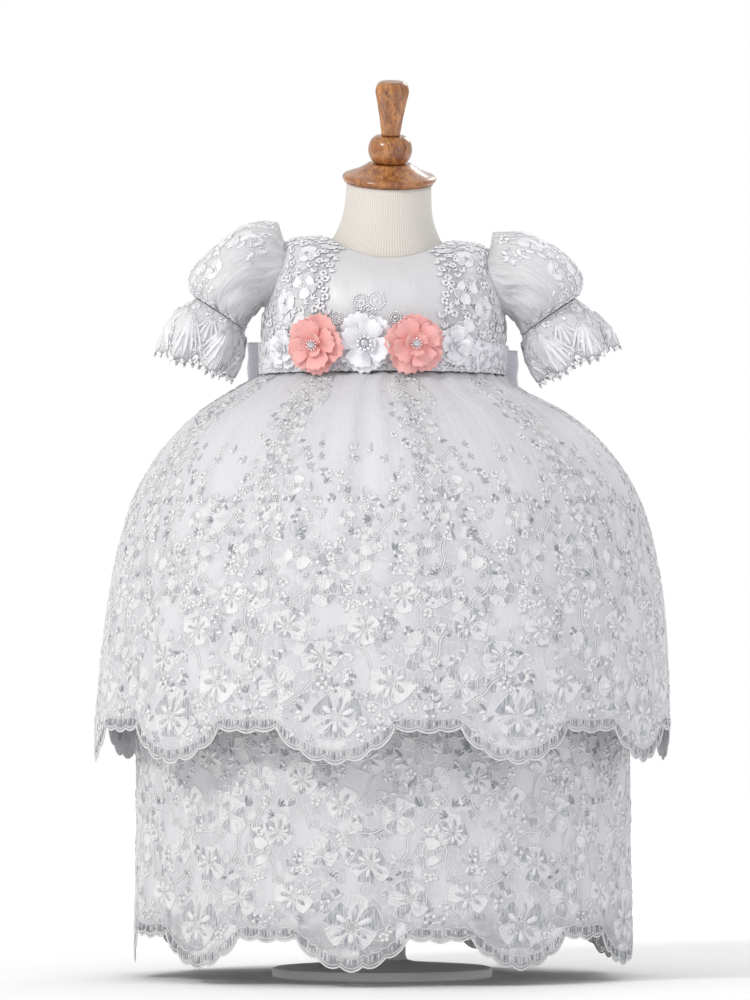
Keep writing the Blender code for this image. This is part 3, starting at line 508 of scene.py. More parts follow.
def close_stitches(mesh, columns, around):
    """Carries the UV map on over the last column of a closed grid, so its seam doesn't show."""
    corners = np.zeros(len(mesh.loops), int)
    mesh.loops.foreach_get("vertex_index", corners)
    uv = np.zeros(len(corners) * 2)
    layer = mesh.uv_layers["stitch"].data
    layer.foreach_get("uv", uv)
    uv = uv.reshape(-1, 2)
    count = (len(mesh.vertices) // columns - 1) * columns
    column = np.repeat(np.arange(count) % columns, 4)
    quads = corners[: 4 * count]
    last = (column == columns - 1) & (quads % columns == 0)
    uv[: 4 * count][last] += around
    layer.foreach_set("uv", uv.ravel())


def cloth_mesh(name, grid, thickness, closed=False, uv=None, tone=None, worked=None, inward=True):
    """A sheet over a grid of points, given its thickness to the inside of its surface."""
    rows, columns = grid.shape[:2]
    points = grid.reshape(-1, 3)
    faces = grid_faces(rows, columns, closed)
    a, b, c = (points[faces[:, i]] for i in (0, 1, 3))
    middle = points.mean(axis=0)
    out = np.einsum("ij,ij->i", np.cross(b - a, c - a), a - middle).sum()
    if out < 0:
        faces = faces[:, ::-1]
    flat_uv = None if uv is None else uv.reshape(-1, 2)
    mesh = mesh_of(name, points, faces, uv=flat_uv, tone=tone, worked=worked)
    if closed and uv is not None:
        close_stitches(mesh, columns, (uv[0, 1] - uv[0, 0]) * columns)
    holder = in_scene(name, mesh)
    wall = holder.modifiers.new("thickness", "SOLIDIFY")
    wall.thickness = thickness
    wall.offset = -1.0 if inward else 0.0
    wall.use_even_offset = False
    select_only(holder)
    bpy.ops.object.modifier_apply(modifier="thickness")
    mesh = holder.data
    bpy.data.objects.remove(holder)
    mesh.name = name
    return mesh


class LaceWork:
    """Flat lace: pads, cords and stitches, in millimetres across, up and off the cloth."""

    def __init__(self):
        self.points, self.faces, self.uvs, self.tones, self.centres = [], [], [], [], []
        self.count = 0

    def add(self, points, faces, tone, uv=None):
        points = np.asarray(points, float)
        if uv is None:
            uv = points[:, :2]
        seed = len(self.points) * 0.37
        self.points.append(points)
        self.faces.append(np.asarray(faces) + self.count)
        self.uvs.append((np.asarray(uv, float) + seed * 17.0) * 0.001)
        self.tones.append(np.broadcast_to(np.asarray(tone, float), (len(points),)))
        self.centres.append(np.broadcast_to(points[:, :2].mean(axis=0), (len(points), 2)))
        self.count += len(points)

    def arrays(self):
        return (
            np.concatenate(self.points), np.concatenate(self.faces), np.concatenate(self.uvs),
            np.concatenate(self.tones), np.concatenate(self.centres),
        )


def turned(points, turn, across, up):
    """Flat points turned and moved to their place."""
    points = np.array(points, float)
    c, s = math.cos(turn), math.sin(turn)
    x, y = points[:, 0].copy(), points[:, 1].copy()
    points[:, 0] = across + c * x - s * y
    points[:, 1] = up + s * x + c * y
    return points


def leaf_outline(length, width, fullness, count, scallop=0.0):
    """A leaf or petal along +X from its foot: fullness over 0 makes its tip the broad end."""
    t = full_turn(count)
    wave = 1 + scallop * np.cos(t * 5)
    x = length / 2 * (1 - np.cos(t) * wave)
    share = np.clip(x / length, 0, 1)
    y = -width / 2 * np.sin(t) * wave * (1 + fullness * (share - 0.5) * 1.6)
    return points_of(x, y)


def pad(work, outline, turn, across, up, tone, rise=None, rim=1.0):
    """A satin-stitched pad: a low dome inside a white cord along its rim. Its tone is painted
    shade and sheen: low tones turn the stitches grey.
    """
    rise = sizes().pad_rise * 1000 if rise is None else rise
    count = len(outline)
    middle = outline.mean(axis=0)
    inward = middle - outline
    reach = np.linalg.norm(inward, axis=1, keepdims=True)
    steps = [(0.0, 0.0, 1.0), (0.50 * rim, 0.72, 1.0), (1.10 * rim, 0.34, tone)]
    if count < 8:
        steps = [(0.0, 0.0, 1.0 if rim else tone), (0.8 * rim or 0.5, 0.85, tone)]
    rings, tones = [], []
    for inset, height, shade in steps:
        ring = outline + inward / reach * np.minimum(inset, 0.42 * reach)
        rings.append(np.column_stack([ring, np.full(count, height * rise)]))
        tones += [shade] * count
    local = np.concatenate([*rings, [[*middle, rise]]])
    tones.append(tone)
    faces = []
    last = (len(steps) - 1) * count
    for k in range(len(steps) - 1):
        for i in range(count):
            j = (i + 1) % count
            a, b = k * count, (k + 1) * count
            faces += [(a + i, a + j, b + j), (a + i, b + j, b + i)]
    faces += [(last + i, last + (i + 1) % count, last + count) for i in range(count)]
    faces += [(0, i + 1, i) for i in range(1, count - 1)]
    placed = turned(local, turn, across, up)
    uv = placed[:, 1::-1] if tone < 0.5 else local[:, :2]
    work.add(placed, faces, tones, uv)


def direction(path, closed):
    """The way a path runs at each of its points."""
    if closed:
        return np.roll(path, -1, axis=0) - np.roll(path, 1, axis=0)
    return np.gradient(path, axis=0)


def cord(work, path, width, rise=1.0, closed=False):
    """A white cord laid along a flat path: three-sided, rounded by its shading."""
    path = np.asarray(path, float)
    width = width * sizes().cord_width * 1000
    ahead = direction(path, closed)
    aside = unit(points_of(-ahead[:, 1], ahead[:, 0]))
    left = np.column_stack([path + aside * width / 2, np.full(len(path), 0.05)])
    right = np.column_stack([path - aside * width / 2, np.full(len(path), 0.05)])
    top = np.column_stack([path, np.full(len(path), 0.05 + 0.55 * rise)])
    points = np.stack([left, top, right], axis=1).reshape(-1, 3)
    faces = []
    count = len(path)
    for i in range(count if closed else count - 1):
        j = (i + 1) % count
        for k in range(3):
            m = (k + 1) % 3
            faces += [(3 * i + k, 3 * i + m, 3 * j + m), (3 * i + k, 3 * j + m, 3 * j + k)]
    if not closed:
        end = 3 * (count - 1)
        faces += [(0, 2, 1), (end, end + 1, end + 2)]
    work.add(points, faces, 1.0)


def leaf(work, across, up, turn, length, width, tone, fullness=-0.35, edge=1.0, rise=None):
    count = 9 if length > 9 else 6
    pad(work, leaf_outline(length, width, fullness, count), turn, across, up, tone, rise, edge)


def blossom(work, across, up, radius, petals, turn=0.0, tones=(0.25, 0.6), heart=True):
    """A flower of stitched, uneven petals in cord round a ring of small knots."""
    lean = turn * 2.7 + across * 0.3
    large = radius > 12
    for k in range(petals):
        at = turn + TURN * k / petals + 0.12 * math.sin(5 * k + across)
        stretch = 1 + 0.20 * math.cos(at - lean) + 0.09 * math.sin(2.3 * k + across)
        length = radius * 0.82 * stretch
        wide = 2 * radius * math.sin(math.pi / petals) * (0.90 + 0.12 * math.sin(3.1 * k + up))
        count = 13 if large else 8 if radius > 6 else 5
        outline = leaf_outline(length, wide, 0.5, count, 0.09 if large else 0.0)
        x = across + radius * 0.18 * math.cos(at)
        y = up + radius * 0.18 * math.sin(at)
        # Painted shade and sheen: the petals take turns of tone, lighter and darker side by side.
        pad(work, outline, at, x, y, tones[k % len(tones)])
        if large:
            inner = leaf_outline(length * 0.66, wide * 0.24, 0.3, 6)
            pad(work, inner, at, x, y, 0.85 - 0.5 * (k % 2), 1.4, rim=0.5)
    if heart:
        ring(work, across, up, radius * 0.17, 1.1, 7)
        if large:
            for k in range(petals):
                at = turn + TURN * (k + 0.5) / petals
                spot = (across + radius * 0.3 * math.cos(at), up + radius * 0.3 * math.sin(at))
                pad(work, leaf_outline(2.2, 2.2, 0.0, 5), at, *spot, 1.0, rim=0)


def ring(work, across, up, radius, width=0.9, count=9):
    t = full_turn(count)
    path = points_of(across + radius * np.cos(t), up + radius * np.sin(t))
    cord(work, path, width, closed=True)


def scroll_path(size, turn, across, up, hand=1.0, turns=1.6, count=20):
    """A stem that rises and winds into a snail curl."""
    t = np.linspace(0, 1, count)
    stem = t < 0.45
    angle = np.where(stem, 0, (t - 0.45) / 0.55 * turns * TURN)
    radius = size * 0.30 * (1 - 0.85 * np.clip((t - 0.45) / 0.55, 0, 1))
    x = np.where(stem, size * 0.75 * t / 0.45, size * 0.75 + radius * np.sin(angle))
    rise = size * 0.10 * np.sin(t / 0.45 * math.pi)
    y = np.where(stem, rise, size * 0.30 - radius * np.cos(angle))
    points = points_of(x, hand * y, 0 * x)
    return turned(points, turn, across, up)[:, :2]


def scroll(work, across, up, size, turn, hand=1.0):
    """An S-scroll: two snail curls on one stem, with a second cord beside the stem."""
    one = scroll_path(size, turn, across, up, hand)
    two = scroll_path(size * 0.8, turn + math.pi, across, up, hand)
    path = np.concatenate([two[::-1], one[1:]])
    cord(work, path, 1.4, 1.4)
    side = unit(points_of(-np.gradient(path[:, 1]), np.gradient(path[:, 0])))
    middle = slice(len(path) // 2 - 9, len(path) // 2 + 9)
    cord(work, path[middle] + side[middle] * 2.0, 0.9)


def repeat_angle(tier, across):
    """Where a place across the tier's middle repeat lies round the tier."""
    return tier.centre + across / tier.repeat_mm * TURN / tier.repeats


def edge_work(work, tier):
    """The hem's border: three cords along the edge and combs of upright satin stitches."""
    repeat_mm = tier.repeat_mm
    across = np.linspace(-repeat_mm / 2, repeat_mm / 2, int(repeat_mm / 1.9) + 1)
    angle = repeat_angle(tier, across)
    edge = tier_edge(tier, angle) * 1000
    cord(work, points_of(across, edge + 0.7), 1.5, 1.2)
    cord(work, points_of(across, edge + 3.2), 0.9)
    smooth = np.convolve(np.pad(edge, 4, mode="wrap"), np.ones(9) / 9, mode="valid")
    upper = smooth + 10.5 + 0.8 * np.sin(across * 0.9)
    cord(work, points_of(across, upper), 1.0)
    for x in np.arange(-repeat_mm / 2 + 1.2, repeat_mm / 2, 2.5):
        low = float(np.interp(x, across, edge)) + 4.2
        high = float(np.interp(x, across, smooth)) + 9.8
        outline = leaf_outline(max(high - low, 2.5), 1.6, 0.0, 5)
        # Painted shade and sheen: the combs alternate in tone.
        pad(work, outline, math.pi / 2, x, low, 0.1 + 0.4 * (math.sin(x * 1.7) > 0), 0.8, rim=0)


def fill_lace(work, seed, width, height, taken, density, spacing=7.6, zone=None, least=0.02):
    """Leaves, small flowers, curls and rings set closely between the main motifs."""
    chance = np.random.default_rng(seed)
    taken = list(taken)
    rows = int(height[1] / spacing) + 1
    first = int(math.floor(height[0] / spacing))
    for i in range(first, rows):
        for j in range(int(width / spacing) + 1):
            x = (j + 0.5 * (i % 2)) * spacing - width / 2 + chance.uniform(-1, 1) * spacing * 0.28
            y = i * spacing + chance.uniform(-1, 1) * spacing * 0.28
            kind, pick, lean, tone = chance.random(4)
            if zone is not None and not zone(x, y):
                continue
            if pick > density(x, y):
                continue
            if any(math.hypot(x - a, y - b) < r + spacing * 0.38 for a, b, r in taken):
                continue
            turn = math.pi / 2 + (lean - 0.5) * 3.2
            # Painted shade and sheen: tones are drawn at random above least, and a second leaf
            # takes the opposite tone.
            tone = least + (0.82 - 0.6 * least) * tone
            if kind < 0.34:
                size = spacing * 1.15
                leaf(work, x, y - 2, turn, size, size * 0.42, tone)
                leaf(work, x, y - 2, turn + 1.1, size * 0.8, size * 0.36, 1.0 - 0.6 * tone)
            elif kind < 0.62:
                blossom(work, x, y, spacing * 0.56, 5, turn, (tone, 0.9), heart=False)
            elif kind < 0.80:
                path = scroll_path(spacing * 1.1, turn, x, y, 1.0 if lean > 0.5 else -1.0, 1.1, 11)
                cord(work, path, 0.9)
                leaf(work, x, y, turn + 1.5, spacing * 0.7, spacing * 0.32, tone, edge=0)
            else:
                size = spacing * 0.9
                for k in (-0.6, 0.0, 0.6):
                    leaf(work, x, y - 2, turn + k, size, size * 0.30, tone, edge=0.8 if k else 0)


# Flowers of a repeat: across, up, radius, petals. The tallest ones stand in the column.
UPPER_BLOOMS = [
    (0, 8, 20, 6), (-45, 33, 16, 6), (41, 36, 17, 5), (-12, 55, 14, 6), (62, 62, 12, 5),
    (20, 78, 13, 6), (-40, 80, 14, 5), (-64, 104, 12, 5), (48, 104, 13, 6), (-12, 106, 12, 5),
    (16, 134, 11, 6), (-36, 136, 11, 5), (62, 146, 11, 5), (-60, 170, 10, 5), (-42, 194, 9, 5),
    (-64, 222, 9, 5), (-52, 252, 8, 5), (4, 166, 8, 5),
]
UPPER_SCROLLS = [
    (-24, 30, 20, 0.6, 1), (24, 52, 20, 2.2, -1), (-62, 62, 18, 1.2, 1), (62, 88, 18, 1.9, -1),
    (-30, 104, 18, 0.9, -1), (32, 112, 17, 2.4, 1), (-58, 136, 16, 1.4, 1), (36, 160, 17, 1.1, -1),
    (-66, 192, 15, 1.9, 1), (-46, 222, 13, 1.0, -1), (-60, 240, 12, 1.2, 1),
]
LOWER_BLOOMS = [
    (0, 8, 22, 6), (44, 30, 16, 6), (-44, 32, 15, 5), (14, 58, 15, 6), (-22, 66, 13, 5),
    (58, 66, 12, 5), (-56, 82, 13, 6), (34, 96, 14, 6), (-8, 104, 13, 5), (-38, 124, 13, 6),
    (62, 124, 11, 5), (12, 140, 13, 5), (-62, 154, 10, 5), (38, 160, 12, 6), (-18, 168, 12, 5),
]
LOWER_SCROLLS = [
    (26, 32, 20, 2.4, 1), (-24, 42, 19, 0.7, -1), (-60, 56, 17, 1.6, 1), (42, 72, 19, 1.2, 1),
    (10, 82, 18, 0.3, -1), (-36, 98, 18, 2.0, 1), (60, 96, 16, 1.3, -1), (14, 118, 18, 1.0, 1),
    (-62, 120, 16, 1.9, -1), (-14, 140, 16, 0.4, 1), (52, 142, 16, 2.2, -1),
]


def tier_lace(tier, blooms, scrolls, seed, top, density):
    """One repeat of a tier's lace, from its scalloped edge up."""
    work = LaceWork()
    edge_work(work, tier)
    # Painted shade and sheen: each flower's petals alternate between these tones.
    tones = ((0.26, 0.6), (0.6, 0.32), (0.4, 0.8))
    taken = []
    for k, (across, up, radius, petals) in enumerate(blooms):
        blossom(work, across, up, radius, petals, 0.4 + 0.7 * k, tones[k % 3])
        taken.append((across, up, radius))
    for across, up, size, turn, hand in scrolls:
        scroll(work, across, up, size, turn, hand)
        taken.append((across, up, size * 0.45))

    def clear_of_edge(x, y):
        edge = float(tier_edge(tier, np.array(repeat_angle(tier, x))))
        return y > edge * 1000 + 14

    fill_lace(work, seed, tier.repeat_mm, (-25, top), taken, density, zone=clear_of_edge)
    return work


def sewn(name, work, keep, place, finish, repeat_mm=0, repeats=1):
    """Lays copies of a flat repeat side by side, keeps the motifs asked for and sews them on.

    keep takes the middle of each motif, and place takes points across, up and off the cloth.
    """
    points, faces, uvs, tones, centres = work.arrays()
    copies = []
    start = 0
    for k in range(repeats):
        shift = k * repeat_mm
        kept = keep(centres[:, 0] + shift, centres[:, 1])
        number = np.cumsum(kept) - 1 + start
        moved = points[kept] + np.array([shift, 0, 0])
        whole_faces = faces[kept[faces].all(axis=1)]
        copies.append((moved, number[whole_faces], uvs[kept] + 0.013 * k, tones[kept]))
        start += int(kept.sum())
    flat, sides, uv, tone = (np.concatenate(parts) for parts in zip(*copies))
    whole = place(flat[:, 0] / 1000, flat[:, 1] / 1000, flat[:, 2] / 1000)
    a, b, c = (whole[sides[:, k]] for k in range(3))
    if np.einsum("ij,ij->", a, np.cross(b, c)) < 0:
        sides = sides[:, ::-1]
    return linked(mesh_of(name, whole, sides, uv=uv, tone=tone), finish, "lace_white")


# Finishes


class NodeWork:
    """Adds and joins the nodes of one material or shared effect."""

    def __init__(self, tree):
        self.tree = tree

    def node(self, kind, vector=None, **inputs):
        """A node with its inputs' values: an underscore in a name stands for a space."""
        made = self.tree.nodes.new(kind)
        if vector is not None:
            self.link(vector, made.inputs["Vector"])
        self.fix(made, inputs)
        return made

    def fix(self, node, inputs):
        for name, value in inputs.items():
            node.inputs[name.replace("_", " ")].default_value = value

    def link(self, source, target):
        self.tree.links.new(source, target)

    def feed(self, target, value):
        """Gives an input a socket, a number or linear RGB."""
        if isinstance(value, bpy.types.NodeSocket):
            self.link(value, target)
        else:
            target.default_value = value if isinstance(value, float) else (*value, 1)

    def math(self, operation, first, second, clamp=True):
        made = self.node("ShaderNodeMath")
        made.operation = operation
        made.use_clamp = clamp
        self.feed(made.inputs[0], first)
        self.feed(made.inputs[1], second)
        return made.outputs[0]

    def plus(self, first, second):
        return self.math("ADD", first, second)

    def less(self, first, second):
        return self.math("SUBTRACT", first, second)

    def times(self, first, second):
        return self.math("MULTIPLY", first, second)

    def most(self, first, second):
        return self.math("MAXIMUM", first, second)

    def spread(self, value, low, high):
        """How far the value is on its way from low to high."""
        made = self.node("ShaderNodeMapRange", From_Min=low, From_Max=high)
        self.link(value, made.inputs["Value"])
        return made.outputs["Result"]

    def noise(self, vector, scale, detail, **inputs):
        made = self.node("ShaderNodeTexNoise", vector, Detail=detail, **inputs)
        self.feed(made.inputs["Scale"], scale)
        return made.outputs["Fac"]

    def mix(self, factor, first, second, blend="MIX"):
        made = self.node("ShaderNodeMix")
        made.data_type = "RGBA"
        made.blend_type = blend
        for name, value in (("Factor", factor), ("A", first), ("B", second)):
            self.feed(made.inputs[name], value)
        return made.outputs["Result"]


def effect(outputs, kind="Float", **inputs):
    """A shared effect, made at its first use and kept. An input without a value is a colour."""

    def declared_effect(make):
        def tree():
            made = bpy.data.node_groups.get(make.__name__)
            if made:
                return made
            made = bpy.data.node_groups.new(make.__name__, "ShaderNodeTree")
            add = made.interface.new_socket
            add(name="Vector", in_out="INPUT", socket_type="NodeSocketVector")
            for name, value in inputs.items():
                socket_type = "NodeSocketColor" if value is None else "NodeSocketFloat"
                socket = add(name=name.replace("_", " "), in_out="INPUT", socket_type=socket_type)
                if value is not None:
                    socket.default_value = value
            for name in outputs:
                add(name=name, in_out="OUTPUT", socket_type=f"NodeSocket{kind}")
            work = NodeWork(made)
            given = work.node("NodeGroupInput").outputs
            end = work.node("NodeGroupOutput")
            for name, socket in zip(outputs, make(work, given)):
                work.link(socket, end.inputs[name])
            return made

        return tree

    return declared_effect


@effect(["Streak"], Threads_per_metre=900.0, Length_share=0.12)
def silk_streaks(work, given):
    """Long uneven streaks along the first axis given: the threads' streaks where they raise a
    bump, and painted streaky sheen where they lighten or darken a colour.
    """
    parts = work.node("ShaderNodeSeparateXYZ", given["Vector"]).outputs
    along = work.math("MULTIPLY", parts["X"], given["Length share"], clamp=False)
    join = work.node("ShaderNodeCombineXYZ")
    for axis, value in (("X", along), ("Y", parts["Y"]), ("Z", parts["Z"])):
        work.link(value, join.inputs[axis])
    noise = work.noise(join.outputs[0], given["Threads per metre"], 3.0, Roughness=0.65)
    return [work.spread(noise, 0.32, 0.68)]


@effect(["Height", "Thread"], Threads_per_metre=900.0)
def fine_weave(work, given):
    """The height of crossed threads, and where the holes between them lie."""
    waves = []
    for direction in ("X", "Y"):
        wave = work.node("ShaderNodeTexWave", given["Vector"], Distortion=0.6, Detail=1.0)
        wave.bands_direction = direction
        work.link(given["Threads per metre"], wave.inputs["Scale"])
        waves.append(wave.outputs["Fac"])
    height = work.math("MAXIMUM", *waves, clamp=False)
    return [height, work.spread(height, 0.35, 0.75)]


@effect(["Colour"], "Color", Scale=18.0, Colour=None, Shade=0.10)
def soft_mottle(work, given):
    """The slow uneven shade of handled cloth."""
    noise = work.noise(given["Vector"], given["Scale"], 4.0)
    amount = work.math("MULTIPLY", noise, given["Shade"], clamp=False)
    return [work.mix(amount, given["Colour"], (0.55, 0.55, 0.60), "MULTIPLY")]


@effect(["Cord", "Cell", "Stitch"], Motifs_per_metre=150.0)
def worked_ground(work, given):
    """Fine embroidery between the raised motifs, as stitched cells in cord."""
    wander = work.node("ShaderNodeTexNoise", given["Vector"], Scale=260.0, Detail=1.0)
    bend = work.node("ShaderNodeVectorMath")
    bend.operation = "MULTIPLY_ADD"
    bend.inputs[1].default_value = (0.006, 0.006, 0.0)
    work.link(wander.outputs["Color"], bend.inputs[0])
    work.link(given["Vector"], bend.inputs[2])
    found = []
    for feature in ("DISTANCE_TO_EDGE", "F1"):
        cells = work.node("ShaderNodeTexVoronoi")
        cells.voronoi_dimensions = "2D"
        cells.feature = feature
        work.link(bend.outputs[0], cells.inputs["Vector"])
        work.link(given["Motifs per metre"], cells.inputs["Scale"])
        found.append(cells.outputs)
    parts = work.node("ShaderNodeSeparateXYZ", found[1]["Color"]).outputs
    cord = work.spread(found[0]["Distance"], 0.09, 0.03)
    return [cord, work.spread(parts["X"], 0.60, 0.64), parts["Y"]]


class Finish(NodeWork):
    """One Principled material while its nodes are being joined."""

    def __init__(self, name, roughness, **values):
        self.material = bpy.data.materials.new(name)
        self.material.use_nodes = True
        super().__init__(self.material.node_tree)
        self.shader = self.tree.nodes["Principled BSDF"]
        self.fix(self.shader, {"Roughness": roughness, **values})
        self.place = self.node("ShaderNodeTexCoord").outputs["Object"]

    def stitches(self, turn=0.0):
        """The stitches' own UV map, turned if asked."""
        made = self.node("ShaderNodeUVMap")
        made.uv_map = "stitch"
        if not turn:
            return made.outputs["UV"]
        return self.node("ShaderNodeMapping", made.outputs["UV"], Rotation=(0, 0, turn)).outputs[0]

    def value(self, name):
        made = self.node("ShaderNodeAttribute")
        made.attribute_name = name
        return made.outputs["Fac"]

    def group(self, tree, vector, **inputs):
        made = self.node("ShaderNodeGroup")
        made.node_tree = tree
        self.link(vector, made.inputs["Vector"])
        self.fix(made, inputs)
        return made.outputs

    def streaks(self, threads, length=0.12, turn=0.0):
        tree, stitches = silk_streaks(), self.stitches(turn)
        made = self.group(tree, stitches, Threads_per_metre=threads, Length_share=length)
        return made["Streak"]

    def weave(self, threads):
        return self.group(fine_weave(), self.stitches(), Threads_per_metre=threads)

    def mottled(self, colour, scale, shade=0.10):
        values = {"Colour": (*colour, 1), "Scale": scale, "Shade": shade}
        return self.group(soft_mottle(), self.place, **values)["Colour"]

    def crinkle(self, folds_per_metre):
        """Soft uneven creases that run along the cloth's length."""
        return self.streaks(folds_per_metre, 0.16, math.pi / 2)

    def bump(self, height, distance):
        made = self.node("ShaderNodeBump", Strength=1.0, Distance=distance)
        self.link(height, made.inputs["Height"])
        self.link(made.outputs["Normal"], self.shader.inputs["Normal"])

    def colour(self, source):
        self.link(source, self.shader.inputs["Base Color"])

    def alpha(self, source):
        self.link(source, self.shader.inputs["Alpha"])


def once(make):
    """A finish is made at its first use and kept."""

    def finish():
        return bpy.data.materials.get(make.__name__) or make(make.__name__)

    return finish


def darker(colour, share):
    return tuple(share * part for part in colour)


def thread_finish(name, white):
    finish = Finish(name, 0.42, Sheen_Weight=0.25)
    streak = finish.streaks(800.0)
    tone = finish.value("tone")
    # Painted shade and sheen: low tones turn the white thread grey, and the streaks paint lighter
    # stripes of sheen along the stitches.
    share = finish.plus(tone, finish.times(streak, 0.7))
    share = finish.less(share, finish.times(finish.less(1.0, tone), 0.22))
    finish.colour(finish.mix(share, colours().silver_thread, white))
    finish.bump(streak, 0.00016)
    return finish.material


@once
def lace_thread(name):
    return thread_finish(name, colours().white_thread)


@once
def bodice_thread(name):
    return thread_finish(name, colours().white_petal)


def net_finish(name, net, white):
    """Net, sheer where its tone says so, with fine embroidery where it is worked."""
    finish = Finish(name, 0.6, Sheen_Weight=0.2)
    plus, less, times = finish.plus, finish.less, finish.times
    weave = finish.weave(420.0)
    ground = finish.group(worked_ground(), finish.stitches(), Motifs_per_metre=120.0)
    streak = finish.streaks(760.0, turn=math.pi / 2)
    worked, sheer = finish.value("worked"), finish.value("tone")
    # Painted shade and sheen: the worked ground's stitches are mixed from the grey and the white
    # by cell and by streak.
    share = less(plus(ground["Stitch"], times(streak, 0.6)), 0.05)
    stitched = finish.mix(share, colours().silver_thread, white)
    stitched = finish.mix(ground["Cord"], stitched, white)
    cells = finish.most(ground["Cell"], times(ground["Cord"], 0.7))
    cover = times(times(worked, cells), 0.75)
    plain = less(1.0, cover)
    light = finish.most(times(sheer, 0.45), times(less(1.0, worked), 0.32))
    thread = finish.mix(light, finish.mottled(net, 14.0), colours().white_petal)
    finish.colour(finish.mix(cover, thread, stitched))
    hole = less(1.0, times(weave["Thread"], 0.5))
    finish.alpha(less(1.0, times(times(hole, sheer), plain)))
    height = times(times(plus(times(streak, 0.35), ground["Cord"]), 0.7), cover)
    height = plus(height, times(weave["Height"], 0.10))
    finish.bump(plus(height, times(finish.crinkle(150.0), times(plain, 0.7))), 0.0007)
    return finish.material


@once
def net_ground(name):
    return net_finish(name, colours().net, colours().white_thread)


@once
def bodice_net(name):
    return net_finish(name, colours().satin, colours().white_petal)


@once
def organza(name):
    finish = Finish(name, 0.45, Sheen_Weight=0.5)
    plus, times = finish.plus, finish.times
    weave, crinkle = finish.weave(520.0), finish.crinkle(240.0)
    finish.colour(finish.mottled(colours().organza, 30.0))
    cover = plus(times(weave["Thread"], 0.34), times(crinkle, 0.16))
    finish.alpha(plus(cover, 0.58))
    finish.bump(plus(crinkle, times(weave["Height"], 0.06)), 0.0010)
    return finish.material


def plain_cloth(name, colour, roughness, threads, shade, sheen):
    finish = Finish(name, roughness, Sheen_Weight=sheen)
    streak = finish.streaks(threads, 0.05)
    finish.colour(finish.mix(streak, darker(colour, 0.88), finish.mottled(colour, 22.0, shade)))
    finish.bump(streak, 0.00010)
    return finish.material


@once
def satin(name):
    return plain_cloth(name, colours().satin, 0.36, 900.0, 0.08, 0.3)


@once
def ribbon_satin(name):
    return plain_cloth(name, colours().ribbon, 0.34, 1000.0, 0.14, 0.4)


@once
def lining_cloth(name):
    return plain_cloth(name, colours().lining, 0.75, 700.0, 0.12, 0.2)


def petal_cloth(name, tip, fold):
    finish = Finish(name, 0.6, Sheen_Weight=0.35)
    streak = finish.streaks(700.0, 0.15)
    # Painted shade and sheen: fold is the painted shade colour at low tone, towards each petal's
    # foot, and the streaks paint sheen across it.
    shade = finish.less(finish.value("tone"), finish.times(streak, 0.18))
    finish.colour(finish.mix(shade, fold, tip))
    finish.bump(streak, 0.00022)
    return finish.material


@once
def pink_petals(name):
    return petal_cloth(name, colours().pink_petal, colours().pink_fold)


@once
def white_petals(name):
    # The second colour is the white petals' painted shade.
    return petal_cloth(name, colours().white_petal, (0.66, 0.67, 0.74))


@once
def ribbed_jersey(name):
    finish = Finish(name, 0.88, Sheen_Weight=0.4)
    scale = TURN / 20 / sizes().rib_spacing
    ribs = finish.node("ShaderNodeTexWave", finish.stitches(), Scale=scale).outputs["Fac"]
    jersey = colours().jersey
    # Painted shade: the grooves between the ribs are painted darker.
    finish.colour(finish.mix(ribs, darker(jersey, 0.80), finish.mottled(jersey, 40.0)))
    finish.bump(finish.weave(160.0)["Height"], 0.00015)
    return finish.material


@once
def varnished_wood(name):
    finish = Finish(name, 0.30, Coat_Weight=0.55, Coat_Roughness=0.12)
    along = finish.node("ShaderNodeMapping", finish.place, Scale=(1.0, 1.0, 0.16)).outputs[0]
    grain = finish.noise(along, 160.0, 6.0, Roughness=0.62, Distortion=0.4)
    pores = finish.noise(along, 900.0, 2.0)
    wood = finish.mix(finish.spread(grain, 0.36, 0.64), colours().wood_dark, colours().wood_light)
    finish.colour(finish.mix(finish.spread(pores, 0.60, 0.68), wood, (0.05, 0.018, 0.008)))
    finish.bump(pores, 0.00008)
    return finish.material


@once
def bright_silver(name):
    finish = Finish(name, 0.18, Metallic=0.6)
    noise = finish.noise(finish.place, 700.0, 2.0)
    finish.colour(finish.mix(noise, (0.80, 0.81, 0.84), colours().silver))
    return finish.material


@once
def cut_stone(name):
    finish = Finish(name, 0.04, IOR=1.9, Coat_Weight=1.0)
    # Painted reflections: the clear stone's bright and dark facets are painted into its colour.
    painted_facet_glints = finish.node("ShaderNodeTexVoronoi", finish.place, Scale=520.0).outputs["Distance"]
    finish.colour(finish.mix(painted_facet_glints, (0.80, 0.82, 0.86), (0.10, 0.11, 0.14)))
    return finish.material


@once
def painted_stand(name):
    finish = Finish(name, 0.45)
    noise = finish.noise(finish.place, 300.0, 3.0)
    finish.colour(finish.mix(noise, darker(colours().stand, 0.94), colours().stand))
    finish.bump(noise, 0.00006)
    return finish.material


# The gown's pieces


def tier_shell(name, tier, middle, top, columns, rows, sheer_below, closeness=None):
    """Half a tier's net, from its seam down to the scalloped edge; sheer_below is a height."""
    half = math.pi / 2 - HALF_SEAM_ANGLE / 2
    angle = middle + np.linspace(-half, half, columns + 1)[None, :]
    edge = tier_edge(tier, angle)
    share = 1 - (1 - np.linspace(0, 1, rows)[:, None]) ** 1.25
    up = edge + (top - edge) * share
    grid = tier_point(tier, np.broadcast_to(angle, up.shape), up)
    uv = points_of(angle * 0.21, up)
    tone = np.where(grid[..., 2] < sheer_below, 0.9, 0.0)
    worked = np.zeros(up.shape) if closeness is None else closeness(angle, up * 1000)
    return cloth_mesh(name, grid, sizes().net_thickness, uv=uv, tone=tone, worked=worked)


def cloth_length(tier):
    return profile_lengths(tier)[1][-1]


